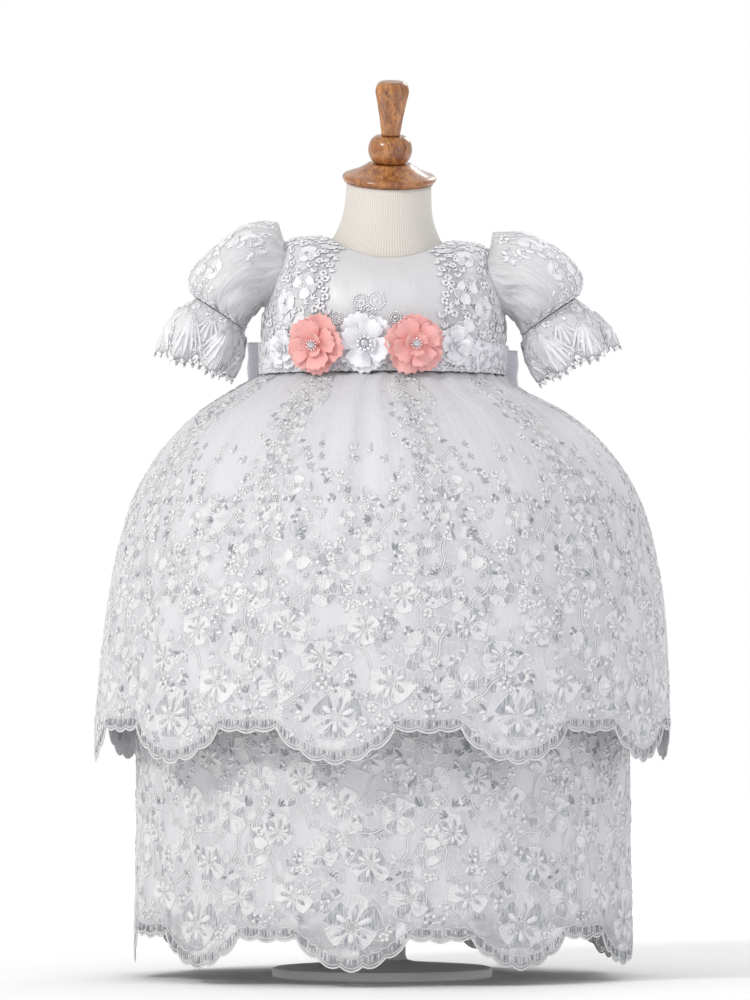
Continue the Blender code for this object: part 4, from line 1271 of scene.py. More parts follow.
class GOWN_OT_skirt_lining(bpy.types.Operator):
    """Plain lining under the tiers, in a front and a back"""

    bl_idname = "gown.skirt_lining"
    bl_label = "Skirt lining"

    def execute(self, context):
        top = cloth_length(LINING)
        for side, middle in (("front", 0.0), ("back", math.pi)):
            mesh = tier_shell(f"lining_{side}", LINING, middle, top, 60, 30, -1.0)
            piece = linked(mesh, lining_cloth(), "lining_white", f"skirt_lining_{side}")
        return {"FINISHED"}


class GOWN_OT_skirt_tiers(bpy.types.Operator):
    """Upper and lower lace tiers, each a front and a back of net with its lace sewn on"""

    bl_idname = "gown.skirt_tiers"
    bl_label = "Skirt tiers"

    def execute(self, context):
        upper = tier_lace(UPPER, UPPER_BLOOMS, UPPER_SCROLLS, 11, 345, upper_density)
        lower = tier_lace(LOWER, LOWER_BLOOMS, LOWER_SCROLLS, 23, 200, lower_density)
        for side, middle in (("front", 0.0), ("back", math.pi)):
            self.tier("upper_tier", UPPER, side, middle, upper, (240, 30), 0.62, 0.0)
            self.tier("lower_tier", LOWER, side, middle, lower, (220, 18), 0.60, 0.052)
        return {"FINISHED"}

    def tier(self, name, tier, side, middle, work, grid, wide, sheer_below):
        top = cloth_length(tier)
        density = upper_density if tier is UPPER else lower_density

        def closeness(angle, up):
            across = (angle - tier.centre) * tier.repeats / TURN
            across = (np.mod(across + 0.5, 1) - 0.5) * tier.repeat_mm
            return np.broadcast_to(np.vectorize(density)(across, up), up.shape)

        net_name = f"{name}_net_{side}"
        mesh = tier_shell(net_name, tier, middle, top, *grid, sheer_below, closeness)
        net = linked(mesh, net_ground(), "lace_white", f"{name}_{side}")
        scale = TURN / tier.repeats / (tier.repeat_mm / 1000)

        def keep(across, up):
            angle = tier.centre + across / 1000 * scale
            away = np.mod(angle - middle + math.pi, TURN) - math.pi
            return (np.abs(away) < math.pi / 2) & (up < top * 1000 - 3)

        def place(across, up, off):
            angle = tier.centre + across * scale
            return tier_point(tier, angle, up) + tier_normal(tier, angle, up) * off[:, None]

        lace = sewn(
            f"{name}_lace_{side}", work, keep, place, lace_thread(), tier.repeat_mm, tier.repeats
        )


def upper_density(across, up):
    """Close lace near the hem, thinning to one column of each repeat towards the waist."""
    half = UPPER.repeat_mm / 2
    off = (across + COLUMN_PLACE_MM + half) % UPPER.repeat_mm - half
    column = math.exp(-((off / 27) ** 2)) * (1.0 if up < 290 else 0.8)
    wave = 16 * math.sin(across * 0.13) + 0.5 * abs(off)
    fade = min(1.0, max(0.0, 1 - (up - 128 - wave) / 95))
    window = 1.5 * max(0.0, math.sin(across * 0.09 - 0.6) * math.sin(up * 0.08 - 2.2) - 0.1)
    return max(fade - window, column)


def lower_density(across, up):
    """Close lace with a few plain windows."""
    window = math.sin(across * 0.09 + 1.2) * math.sin(up * 0.075 - 1.4)
    return max(0.0, 0.95 - 1.5 * max(0.0, window - 0.1))


def torso_columns():
    """Down a front's side edge: the angle and row of the edge, and the row at the centre."""
    hole = np.linspace(math.pi, 0, 9)
    hole_angle = math.pi / 2 - ARMHOLE_HALF_ANGLE * np.sin(hole)
    hole_row = ARMHOLE_MIDDLE_ROW + ARMHOLE_HALF_ROWS * np.cos(hole)
    below = np.linspace(0, ARMHOLE_LOW_ROW, 4)[:-1]
    above = np.linspace(ARMHOLE_TOP_ROW, 7, 4)[1:]
    row = np.concatenate([below, hole_row, above])
    angle = np.concatenate([np.full(3, math.pi / 2), hole_angle, np.full(3, math.pi / 2)])
    centre = np.array((0.0, 0.4, 0.8, 1.2, 1.7, 2.4, 3.1, 3.7, 4.3, 4.9, 5.4, 5.8, 6.2, 6.6, 7.0))
    return angle, row, centre


def torso_patch(share, rows, back=False):
    """Angles and rows of a panel: share runs from the centre (0) to the side edge (1)."""
    angle, edge_row, centre_row = torso_columns()
    at = np.linspace(0, len(angle) - 1, rows)
    index = np.arange(len(angle))
    edge = np.interp(at, index, angle)[:, None]
    edge = (math.pi - edge if back else edge) - (-1 if back else 1) * HALF_SEAM_ANGLE
    edge_row = np.interp(at, index, edge_row)[:, None]
    centre_row = np.interp(at, index, centre_row)[:, None]
    if back:
        start = math.pi - HALF_SEAM_ANGLE
        panel = start + (edge - start) * share
    else:
        panel = edge * share
    row = centre_row + (edge_row - centre_row) * share**2
    return panel, row


# Front flowers, then back flowers: across, up, radius, petals.
TORSO_BLOOMS = [
    (62, 30, 12, 6), (84, 52, 10, 5), (66, 66, 12, 6), (74, 98, 10, 5), (70, 12, 9, 5),
    (66, 118, 7, 5), (120, 28, 9, 5),
    (180, 30, 12, 6), (222, 40, 12, 6), (200, 66, 12, 5), (240, 76, 11, 6), (222, 104, 10, 5),
    (252, 14, 10, 5), (160, 14, 9, 5), (255, 112, 8, 5),
]


def torso_lace():
    """Lace for one side of the bodice, laid out from the centre front round to the centre back."""
    work = LaceWork()

    def zone(x, y):
        angle = x / TORSO_RADIUS_MM
        row = float(torso_row(y / 1000))
        beside = (angle - math.pi / 2) / math.radians(29)
        hole = beside**2 + ((row - ARMHOLE_MIDDLE_ROW) / 1.60) ** 2
        lace_from = math.radians(float(np.interp(row, range(8), LACE_EDGE)) - 2.5)
        seam = abs(angle - math.pi / 2) > math.radians(2.5)
        return lace_from < angle < math.radians(176) and hole > 1 and seam and 0.15 < row < 6.7

    taken = []
    for k, (across, up, radius, petals) in enumerate(TORSO_BLOOMS):
        if zone(across, up):
            # Petal tones are painted shade and sheen.
            blossom(work, across, up, radius, petals, 0.7 * k, ((0.35, 0.8), (0.8, 0.5))[k % 2])
            taken.append((across, up, radius))
    fill_lace(work, 31, 560, (4, 150), taken, lambda x, y: 1.0, 6.6, zone, 0.42)
    return work


def torso_row(up):
    """The torso row at a height up the cloth from the waist, in metres."""
    rows = np.linspace(0, 7, 120)
    line = torso_surface(np.full(120, math.radians(52)), rows)
    lengths = np.concatenate([[0], np.cumsum(np.linalg.norm(np.diff(line, axis=0), axis=1))])
    return np.interp(up, lengths, rows)


class GOWN_OT_bodice(bpy.types.Operator):
    """Satin front with lace sides, and the two lace backs"""

    bl_idname = "gown.bodice"
    bl_label = "Bodice"

    def execute(self, context):
        share = np.linspace(-1, 1, 61)[None, :]
        angle, row = torso_patch(np.abs(share), 46)
        angle = angle * np.sign(share)
        front = self.panel("front_satin", angle, row, 0.0, satin(), "satin_white", "bodice_front")
        work = torso_lace()
        for name, side in (("right", 1), ("left", -1)):
            self.side(name, side, work)
        return {"FINISHED"}

    def panel(self, name, angle, row, lift, finish, slot_name, *nodes, tone=None):
        ripple = 0.0005 * np.sin(angle * 19 + row * 1.3) * np.clip(2.6 - 0.6 * row, 0, 1)
        grid = torso_moved(angle, row, lift + ripple)
        uv = points_of(row * 0.02, angle * 0.09)
        worked = None if tone is None else np.clip(1.2 - 1.6 * tone, 0, 1)
        mesh = cloth_mesh(name, grid, SATIN_THICKNESS, uv=uv, tone=tone, worked=worked)
        return linked(mesh, finish, slot_name, *nodes)

    def side(self, name, side, work):
        full, row = torso_patch(np.ones((1, 1)), 46)
        lace_from = np.radians(np.interp(row[:, :1], range(8), LACE_EDGE))
        start = np.minimum(lace_from, full - math.radians(10)) / full
        share = start + (1 - start) * np.linspace(0, 1, 25)[None, :]
        angle, row = torso_patch(share, 46)
        net = self.panel(
            f"front_net_{name}", side * angle, row, 0.0008, bodice_net(), "lace_white",
            f"bodice_lace_{name}", tone=0.1 + 0.9 * np.clip(1.3 - (share - start) * 6, 0, 1),
        )
        angle, row = torso_patch(np.linspace(0, 1, 31)[None, :], 46, back=True)
        back = self.panel(
            f"back_net_{name}", side * angle, row, 0.0, bodice_net(), "lace_white",
            f"bodice_back_{name}", tone=np.zeros(angle.shape),
        )

        def place_at(lift):
            def place(across, up, off):
                angle = side * across / (TORSO_RADIUS_MM / 1000)
                return torso_moved(angle, torso_row(up), lift + off)

            return place

        half = TORSO_RADIUS_MM * math.pi / 2
        lace = sewn(
            f"front_lace_{name}", work, lambda x, y: x < half, place_at(SEAM + THIN_CLOTH),
            bodice_thread(),
        )
        back_lace = sewn(
            f"back_lace_{name}", work, lambda x, y: x > half, place_at(0.0), bodice_thread()
        )


class GOWN_OT_sleeves(bpy.types.Operator):
    """Sheer puffed sleeves with lace over the top, and the lace frills below their cuffs"""

    bl_idname = "gown.sleeves"
    bl_label = "Sleeves"

    def execute(self, context):
        for name, side, puff, frill in (
            ("left", -1, LEFT_PUFF, LEFT_FRILL),
            ("right", 1, RIGHT_PUFF, RIGHT_FRILL),
        ):
            self.sleeve(name, side, puff)
            self.frill(name, side, frill)
        return {"FINISHED"}

    def sleeve(self, name, side, table):
        def surface(turn, row):
            """Row -1 is the armhole, and the puff's own rings follow from 0 to 5."""
            turn, row = paired(turn, row)
            share = np.clip(row / 5, 0, 1)
            near = np.exp(-((share / 0.28) ** 2)) + np.exp(-(((1 - share) / 0.30) ** 2))
            wave = turn + 0.12 * np.sin(3 * turn + 5 * share)
            soft = 0.0013 * near * np.cos(21 * wave) + 0.0011 * np.sin(8 * wave + 4 * share)
            soft = soft + 0.0006 * np.cos(13 * turn + 9 * share)
            puffed = puff_point(table, turn, np.clip(row, 0, 5), soft)
            start = armhole_ring(side, turn, 0.0006, -CLOTH)
            leave = armhole_ring(side, turn, 0.0006, 0.003)
            part = np.clip(row + 1, 0, 1)[..., None]
            early = start + (leave - start) * np.clip(part * 3, 0, 1)
            late = leave + (puffed - leave) * np.clip(part * 1.5 - 0.5, 0, 1)
            joined = np.where(part < 1 / 3, early, late)
            return np.where(row[..., None] >= 0, puffed, joined)

        turn = full_turn(108)[None, :]
        row = np.concatenate([np.linspace(-1, 0, 7)[:-1], np.linspace(0, 5, 27)])[:, None]
        turn, row = np.broadcast_arrays(turn, row)
        grid = surface(turn, row)
        uv = points_of(turn * 0.036, row * 0.014)
        mesh = cloth_mesh(f"sleeve_{name}_organza", grid, 0.0003, closed=True, uv=uv)
        puff = linked(mesh, organza(), "organza_white", f"sleeve_{name}")
        work = LaceWork()

        def zone(x, y):
            turn = x / SLEEVE_RADIUS_MM
            near_cuff = 55 < y < 66
            return 4 < y < 68 and (abs(turn) < 1.15 + 0.28 * math.sin(y * 0.16) or near_cuff)

        taken = []
        for across, up, radius, petals in (
            (0, 22, 10, 6), (-20, 44, 9, 5), (18, 46, 9, 5), (2, 60, 7, 5), (26, 18, 8, 5),
            (-26, 20, 8, 5), (40, 36, 7, 5), (-40, 38, 7, 5),
        ):
            # Petal tones are painted shade and sheen.
            blossom(work, across, up, radius, petals, up * 0.1, (0.6, 0.95))
            taken.append((across, up, radius))
        fill_lace(work, 41 + side, 240, (2, 70), taken, lambda x, y: 0.95, 5.8, zone, 0.5)

        def place(across, up, off):
            turn, row = across / (SLEEVE_RADIUS_MM / 1000), up / SLEEVE_RING_STEP
            normal = puff_normal(surface, turn, row)
            return surface(turn, row) + normal * (STITCH_LIFT + off[:, None])

        lace = sewn(f"sleeve_{name}_lace", work, lambda x, y: y < 71, place, bodice_thread())

    def frill(self, name, side, table):
        def surface(turn, row):
            turn, row = paired(turn, row)
            gather = smooth_rows(table, row)[..., 5]
            wave = gather * np.cos(FRILL_WAVES * turn) + 0.35 * gather * np.sin(13 * turn)
            beyond = np.clip(row - 3, 0, None)[..., None] * FRILL_RING_STEP * away
            return puff_point(table, turn, np.clip(row, 0, 3), wave) + beyond

        last = table[3]
        reach = np.array([last.outer_x - last.inner_x, 0, last.outer_z - last.inner_z])
        reach = reach / np.linalg.norm(reach)
        away = np.array([side * abs(reach[2]), 0, -abs(reach[0])])

        def edge_row(turn):
            fan = np.abs(np.cos(FRILL_WAVES * turn / 2))
            return 2.15 + 0.62 * fan**0.6 + 0.10 * np.abs(np.sin(FRILL_WAVES * 3.5 * turn))

        turn = full_turn(192)[None, :]
        share = np.linspace(0, 1, 12)[:, None]
        row = share * edge_row(turn)
        turn = np.broadcast_to(turn, row.shape)
        uv = points_of(turn * 0.036, row * 0.018)
        mesh = cloth_mesh(f"frill_{name}_net", surface(turn, row), 0.0004, closed=True, uv=uv)
        net = linked(mesh, organza(), "organza_white", f"sleeve_frill_{name}")
        work = LaceWork()
        pitch = TURN / FRILL_WAVES * FRILL_RADIUS_MM
        for k in range(FRILL_WAVES):
            fan_lace(work, k * pitch, 9, 43, 9)
            fan_lace(work, (k + 0.5) * pitch, 6, 30, 5)
            # Petal tones are painted shade and sheen.
            blossom(work, (k + 0.25) * pitch, 7, 5.0, 5, 0.3 * k, (0.5, 0.9))
            blossom(work, (k + 0.75) * pitch, 7, 5.0, 5, 0.7 * k, (0.9, 0.6))
        around = np.linspace(0, TURN * FRILL_RADIUS_MM, 150)
        cord(work, points_of(around, 2.0 + 0.5 * np.sin(around)), 1.4, 1.3)

        def place(across, up, off):
            turn, row = across / (FRILL_RADIUS_MM / 1000), up / FRILL_RING_STEP
            normal = puff_normal(surface, turn, row)
            return surface(turn, row) + normal * (STITCH_LIFT + off[:, None])

        lace = sewn(f"frill_{name}_lace", work, lambda x, y: y < 90, place, bodice_thread())


def fan_lace(work, across, up, length, ribs):
    """A fan of pointed ribs with cords round it, which ends in a fringe of points."""
    spread = 0.62
    for k in range(ribs):
        at = (k / (ribs - 1) - 0.5) * 2
        turn = math.pi / 2 + at * spread
        long = length * (1 - 0.14 * at * at)
        start = up + 5
        # The ribs alternate in tone: painted shade and sheen.
        leaf(work, across, start, turn, long - 5, 3.0, 0.8 if k % 2 else 1.0, 0.2, 0.9, 1.6)
        tip = (across + math.cos(turn) * long, start - 5 + math.sin(turn) * long)
        leaf(work, tip[0], tip[1], turn, 6.0, 3.2, 1.0, -0.6, 0, 0.9)
    for level in (0.45, 0.78):
        turn = np.linspace(-spread, spread, 14) + math.pi / 2
        wave = length * level + 0.9 * np.sin(np.linspace(0, ribs * math.pi, 14))
        path = points_of(across + np.cos(turn) * wave, up + 3 + np.sin(turn) * wave)
        cord(work, path, 1.1, 1.3)


def ribbon_mesh(name, path, half_widths, levels=9, closed=False, crease=0.0006):
    """A satin ribbon of upright width along a path in plan, with soft creases along it."""
    path = np.asarray(path, float)
    ahead = direction(path, closed)
    aside = unit(points_of(ahead[:, 1], -ahead[:, 0], np.zeros(len(path))))
    level = np.linspace(-1, 1, levels)[:, None]
    along = np.arange(len(path))[None, :] / len(path)
    ripple = crease * np.sin(level * 5.0 + 6 * along) * (1 - 0.4 * level**2)
    sheet = path[None] + aside[None] * ripple[..., None]
    sheet[..., 2] += level * half_widths[None, :]
    uv = points_of(along * 0.2, level * 0.017)
    return cloth_mesh(name, sheet, SATIN_THICKNESS, closed=closed, uv=uv, inward=False)


class GOWN_OT_sash_and_bow(bpy.types.Operator):
    """Satin sash round the waist, and its bow at the back"""

    bl_idname = "gown.sash_and_bow"
    bl_label = "Sash and bow"

    def execute(self, context):
        angle = full_turn(160)[None, :]
        row = np.linspace(SASH_LOW_ROW, 1.10, 13)[:, None]
        angle, row = np.broadcast_arrays(angle, row)
        pleat = 0.00045 * np.cos((row - SASH_LOW_ROW) * 5 * math.pi + 0.6 * np.sin(2 * angle))
        out = SASH_LIFT + SASH_THICK * 0.55 + pleat
        uv = points_of(angle * 0.1, row * 0.028)
        grid = torso_moved(angle, row, out)
        mesh = cloth_mesh("sash_ribbon", grid, SATIN_THICKNESS, closed=True, uv=uv)
        sash = linked(mesh, ribbon_satin(), "ribbon_white", "sash")
        self.sash_lace()
        row = float(np.interp(BOW_HEIGHT, [TORSO[0].back, TORSO[1].back], [0, 1]))
        lift = SASH_LIFT + SASH_THICK + 0.0008
        seat = torso_moved(np.array(math.pi), np.array(row), np.array(lift))
        self.knot(seat)
        for name, side in (("right", 1), ("left", -1)):
            self.loop(name, side, seat)
            self.tail(name, side, seat)
        return {"FINISHED"}

    def sash_lace(self):
        """Lace flowers and leaves sewn over the front of the ribbon, to its side seams."""
        work = LaceWork()
        taken = [(flower.across * 1000, 15, 5) for flower in FLOWERS]
        for k, across in enumerate((-118, -96, -76, 66, 86, 106, 124)):
            # Tones of the petals and leaves are painted shade and sheen.
            blossom(work, across, 15 + 2 * math.sin(across), 9.5, 6, 0.5 * k, (0.3, 0.7))
            taken.append((across, 15, 8))
        for k in range(17):
            across = (k - 8) * 15.5
            leaf(work, across, 5, -1.0 - 0.8 * (k % 2), 8.5, 4.2, 0.35 + 0.3 * (k % 2))

        def zone(x, y):
            return 0 < y < SASH_WIDTH_MM

        fill_lace(work, 57, 266, (0, 28), taken, lambda x, y: 1.0, 5.2, zone, 0.4)
        across = np.linspace(-133, 133, 134)
        cord(work, points_of(across, 0.5 * np.sin(across) - 0.3), 2.2, 1.6)

        def place(across, up, off):
            lift = SASH_LIFT + SASH_THICK * 0.55 + 0.0004
            row = SASH_LOW_ROW + up / (SASH_WIDTH_MM / 1000)
            return torso_moved(across / (TORSO_RADIUS_MM / 1000), row, lift + off)

        return sewn("sash_lace", work, lambda x, y: y < 40, place, bodice_thread())

    def knot(self, seat):
        """The ribbon wrapped round the middle, pinched at its top and bottom."""
        turn = full_turn(56)[None, :]
        level = np.linspace(-1, 1, 25)[:, None]
        swell = 0.72 + 0.26 * (1 - level**2) ** 0.5 + 0.025 * np.cos(9 * turn)
        x = seat[0] + KNOT_HALF_WIDTH * swell * np.sin(turn)
        y = seat[1] + KNOT_DEPTH / 2 * (1 - swell * np.cos(turn))
        z = np.broadcast_to(seat[2] + level * KNOT_HALF_HEIGHT, x.shape)
        grid = points_of(x, y, z)
        uv = points_of(turn * 0.01, level * 0.0125)
        mesh = cloth_mesh("bow_knot_ribbon", grid, SATIN_THICKNESS, closed=True, uv=uv)
        knot = linked(mesh, ribbon_satin(), "ribbon_white", "bow_knot")

    def loop(self, name, side, seat):
        turn = full_turn(90)
        out = (1 - np.cos(turn)) / 2
        start = KNOT_HALF_WIDTH + SEAM + THIN_CLOTH / 2
        x = seat[0] + side * (start + (LOOP_REACH - start) * out)
        middle = seat[1] + KNOT_DEPTH / 2 + 0.012 * out - (LOOP_SWEEP + 0.012) * out**2
        y = middle + LOOP_OPEN * np.sin(turn) * (0.35 + 0.85 * out)
        path = points_of(x, y, seat[2] - LOOP_DROOP[name] * out)
        half = LOOP_RIBBON / 2 * (0.45 + 0.55 * np.sin(np.clip(out * 1.3, 0, 1) * math.pi / 2))
        mesh = ribbon_mesh(f"bow_loop_{name}_ribbon", path, half, closed=True)
        loop = linked(mesh, ribbon_satin(), "ribbon_white", f"bow_loop_{name}")

    def tail(self, name, side, seat):
        height = np.interp(np.linspace(0, 7, 50), range(8), TAIL_HEIGHTS)[:, None]
        drop = (height[0] - height) / (height[0] - height[-1])
        half = 0.0055 + 0.0135 * np.clip(drop * 2.5, 0, 1)
        level = np.linspace(-1, 1, 11)[None, :]
        z = height + level * side * TAIL_SLANT * np.clip(drop * 4 - 3, 0, 1)
        at = seat[0] + side * (0.0062 + 0.052 * drop**1.1 + half - half[0]) + level * half
        heights = [ring[0] for ring in UPPER_RINGS][::-1]
        wide = np.interp(z, heights, [ring[1] for ring in UPPER_RINGS][::-1])
        deep = np.interp(z, heights, [ring[2] for ring in UPPER_RINGS][::-1])
        skirt = deep * np.sqrt(1 - (at / wide) ** 2) + 0.0050
        y = np.maximum(seat[1] + 0.0025, skirt + 0.0030)
        y = y + 0.0008 * np.sin(level * 3 + drop * 5)
        uv = points_of(drop * 0.15, level * 0.019)
        grid = points_of(at, y, z)
        mesh = cloth_mesh(f"bow_tail_{name}_ribbon", grid, SATIN_THICKNESS, uv=uv)
        tail = linked(mesh, ribbon_satin(), "ribbon_white", f"bow_tail_{name}")


def sash_seat(across, height):
    """The point of the sash's outer face at that place, and its outward direction."""
    row = float(np.interp(height, [ring.front for ring in TORSO], range(len(TORSO))))
    width = smooth_rows([[ring.half_width] for ring in TORSO], row)[0]
    angle = math.asin(across / width)
    lift = SASH_LIFT + SASH_THICK + SEAM
    spot = torso_moved(np.array(angle), np.array(row), np.array(lift))
    return spot, torso_normal(np.array(angle), np.array(row))


def facing_matrix(across, height):
    """Seats a piece on the sash, with its own Z outwards and its Y up."""
    spot, out = sash_seat(across, height)
    side = unit(np.cross(np.array([0, 0, 1.0]), out))
    up = np.cross(out, side)
    matrix = Matrix.Identity(4)
    for k in range(3):
        matrix[k][0], matrix[k][1], matrix[k][2], matrix[k][3] = side[k], up[k], out[k], spot[k]
    return matrix


def petal_grid(length, width, lift, cup, turn, teeth, roll):
    """One petal: narrow at its foot, broad and pinked at its end, cupped and rolled."""
    t = np.linspace(0, 1, 11)[:, None]
    s = np.linspace(-1, 1, 17)[None, :]
    half = width / 2 * (0.22 + 0.78 * np.sin(np.clip(t * 1.15, 0, 1) * math.pi / 2))
    end = 1 - 0.22 * s**2 + 0.045 * np.cos(s * math.pi * teeth) * (1 - 0.3 * s**2)
    along = length * t * np.where(t > 0.6, 1 + (end - 1) * (t - 0.6) / 0.4, 1.0)
    y = half * s * (1 - 0.10 * t**4)
    z = lift + cup * t**1.6 + roll * np.clip(t - 0.7, 0, 1) * (0.4 + s**2)
    z = z + 0.0013 * np.sin(s * 4.4 + turn * 3) * t * width / 0.02 - 0.0010 * (1 - s**2) * t
    c, sn = math.cos(turn), math.sin(turn)
    grid = points_of(c * along - sn * y, sn * along + c * y, z)
    uv = points_of(along, half * s)
    # Painted shade: tone darkens each petal towards its foot, in the flower's depths.
    tone = np.broadcast_to(np.clip(0.15 + 1.15 * t, 0, 1), y.shape)
    return grid, uv, tone


class GOWN_OT_sash_flowers(bpy.types.Operator):
    """Layered flowers on the sash, with their set stones"""

    bl_idname = "gown.sash_flowers"
    bl_label = "Sash flowers"

    def execute(self, context):
        for k, flower in enumerate(FLOWERS):
            self.flower(flower, 0.25 + 0.9 * k)
            self.stone(flower)
        return {"FINISHED"}

    def flower(self, flower, start):
        size = flower.radius
        layers = [(1.04, 1.28, 0.0016, 0.0008, 5), (0.84, 1.10, 0.0032, 0.0036, 4)]
        layers += [(0.42, 0.56, 0.0046, 0.0056, 3)]
        meshes = []
        for k, (long, wide, lift, cup, petals) in enumerate(layers):
            for i in range(petals):
                turn = start + TURN * (i + 0.45 * k) / petals
                rise = size / 0.0240
                length = size * long * (1 + 0.05 * math.sin(5 * i + 2 * k + start))
                grid, uv, tone = petal_grid(
                    length, size * wide * 0.86, flower.foot + lift * rise + 0.0003 * (i % 2),
                    cup * rise * (1 + 0.5 * math.sin(3 * i + start)), turn, 4, 0.0014 * rise,
                )
                meshes.append(cloth_mesh(
                    f"petal_{k}_{i}", grid, sizes().petal_thickness, uv=uv, tone=tone, inward=False
                ))
        meshes.append(self.stem(flower))
        mesh = joined(flower.name + "_petals", meshes)
        mesh.transform(facing_matrix(flower.across, flower.height))
        finish = pink_petals() if flower.pink else white_petals()
        slot_name = "petal_pink" if flower.pink else "petal_white"
        piece = linked(mesh, finish, slot_name, flower.name)

    def stem(self, flower):
        """The felt disc that holds the petals on the sash."""
        radius = min(0.0065, flower.radius * 0.35)
        turn = full_turn(24)
        foot = flower.foot
        rings = [(0.02, 0.0), (1.0, 0.0), (1.0, foot + 0.0020), (0.02, foot + 0.0022)]
        grid = np.array([
            [[radius * r * math.cos(t), radius * r * math.sin(t), h] for t in turn]
            for r, h in rings
        ])
        uv = grid[..., :2].copy()
        # Painted shade: the disc takes the petals' shade colour.
        tone = np.full(grid.shape[:2], 0.3)
        return cloth_mesh("stem", grid, 0.0002, closed=True, uv=uv, tone=tone)

    def stone(self, flower):
        """A faceted stone in a ring of beads: the middle one has a cluster round it."""
        size = flower.stone
        seat = flower.foot + (0.0075 if flower.radius > 0.02 else 0.0052)
        bpy.ops.object.select_all(action="DESELECT")
        middle = size * (0.50 if size > 0.006 else 0.72)
        bpy.ops.mesh.primitive_cone_add(
            vertices=10, radius1=middle, radius2=middle * 0.55, depth=middle * 0.55,
            location=(0, 0, seat + middle * 0.55), end_fill_type="TRIFAN",
        )
        stone = bpy.context.object
        bpy.ops.object.transform_apply(location=True, rotation=True, scale=True)
        bpy.ops.object.mode_set(mode="EDIT")
        bpy.ops.mesh.select_all(action="SELECT")
        bpy.ops.mesh.bevel(offset=middle * 0.10, segments=1)
        bpy.ops.object.mode_set(mode="OBJECT")
        stone.data.materials.append(cut_stone())
        reach, radius, height = (0.78, 0.22, 0.12) if size > 0.006 else (0.86, 0.17, 0.10)
        beads = []
        for k in range(10):
            at = TURN * (k + 0.5) / 10
            spot = (size * reach * math.cos(at), size * reach * math.sin(at), seat + size * height)
            beads.append((*spot, size * radius))
        silver = bead_mesh("setting_beads", beads)
        holder = in_scene("setting_beads", silver)
        silver.materials.append(bright_silver())
        select_only(stone)
        holder.select_set(True)
        bpy.ops.object.join()
        name = flower.name.replace("flower", "stone")
        stone.name = name + "_set"
        stone.data.name = stone.name
        stone.data.transform(facing_matrix(flower.across, flower.height))
        declared(stone, "rhinestone", name)


def joined(name, meshes):
    """One mesh from several, keeping their UV maps and shades."""
    objects = [in_scene(mesh.name, mesh) for mesh in meshes]
    select_only(objects[0])
    for obj in objects:
        obj.select_set(True)
    bpy.ops.object.join()
    mesh = objects[0].data
    bpy.data.objects.remove(objects[0])
    mesh.name = name
    return mesh


def bead_mesh(name, beads):
    """Small round beads as one mesh: each is a centre and a radius."""
    bpy.ops.object.select_all(action="DESELECT")
    bpy.ops.mesh.primitive_ico_sphere_add(subdivisions=2, radius=1.0, location=(0, 0, 0))
    ball = bpy.context.object
    points = np.zeros(len(ball.data.vertices) * 3)
    ball.data.vertices.foreach_get("co", points)
    points = points.reshape(-1, 3)
    faces = np.array([tuple(face.vertices) for face in ball.data.polygons])
    bpy.data.objects.remove(ball)
    whole = [points * radius + np.array([x, y, z]) for x, y, z, radius in beads]
    numbers = [faces + k * len(points) for k in range(len(beads))]
    return mesh_of(name, np.concatenate(whole), np.concatenate(numbers))


class GOWN_OT_bead_sprays(bpy.types.Operator):
    """Scrolls of small silver beads above the sash flowers"""

    bl_idname = "gown.bead_sprays"
    bl_label = "Bead sprays"

    def execute(self, context):
        rings = [(-0.0200, 0.5475, 0.0062), (-0.0070, 0.5485, 0.0068), (-0.0132, 0.5405, 0.0060)]
        rings += [(-0.0385, 0.5350, 0.0050), (0.0088, 0.5355, 0.0046)]
        beads = []
        for across, height, size in rings:
            beads.append((across, height, 0.0011))
            for reach, radius in ((size, 0.0008), (size * 0.62, 0.0007)):
                count = int(TURN * reach / (radius * 2.15))
                for turn in full_turn(count):
                    wave = reach * (1 + 0.05 * math.cos(7 * turn))
                    spot = (across + wave * math.sin(turn), height + wave * math.cos(turn))
                    beads.append((*spot, radius))
        seated = []
        for x, z, radius in beads:
            spot, out = sash_seat(x, z)
            seated.append((*(spot - out * (SASH_LIFT + SASH_THICK + SEAM - radius)), radius))
        mesh = bead_mesh("bead_sprays", seated)
        linked(mesh, bright_silver(), "rhinestone")
        return {"FINISHED"}


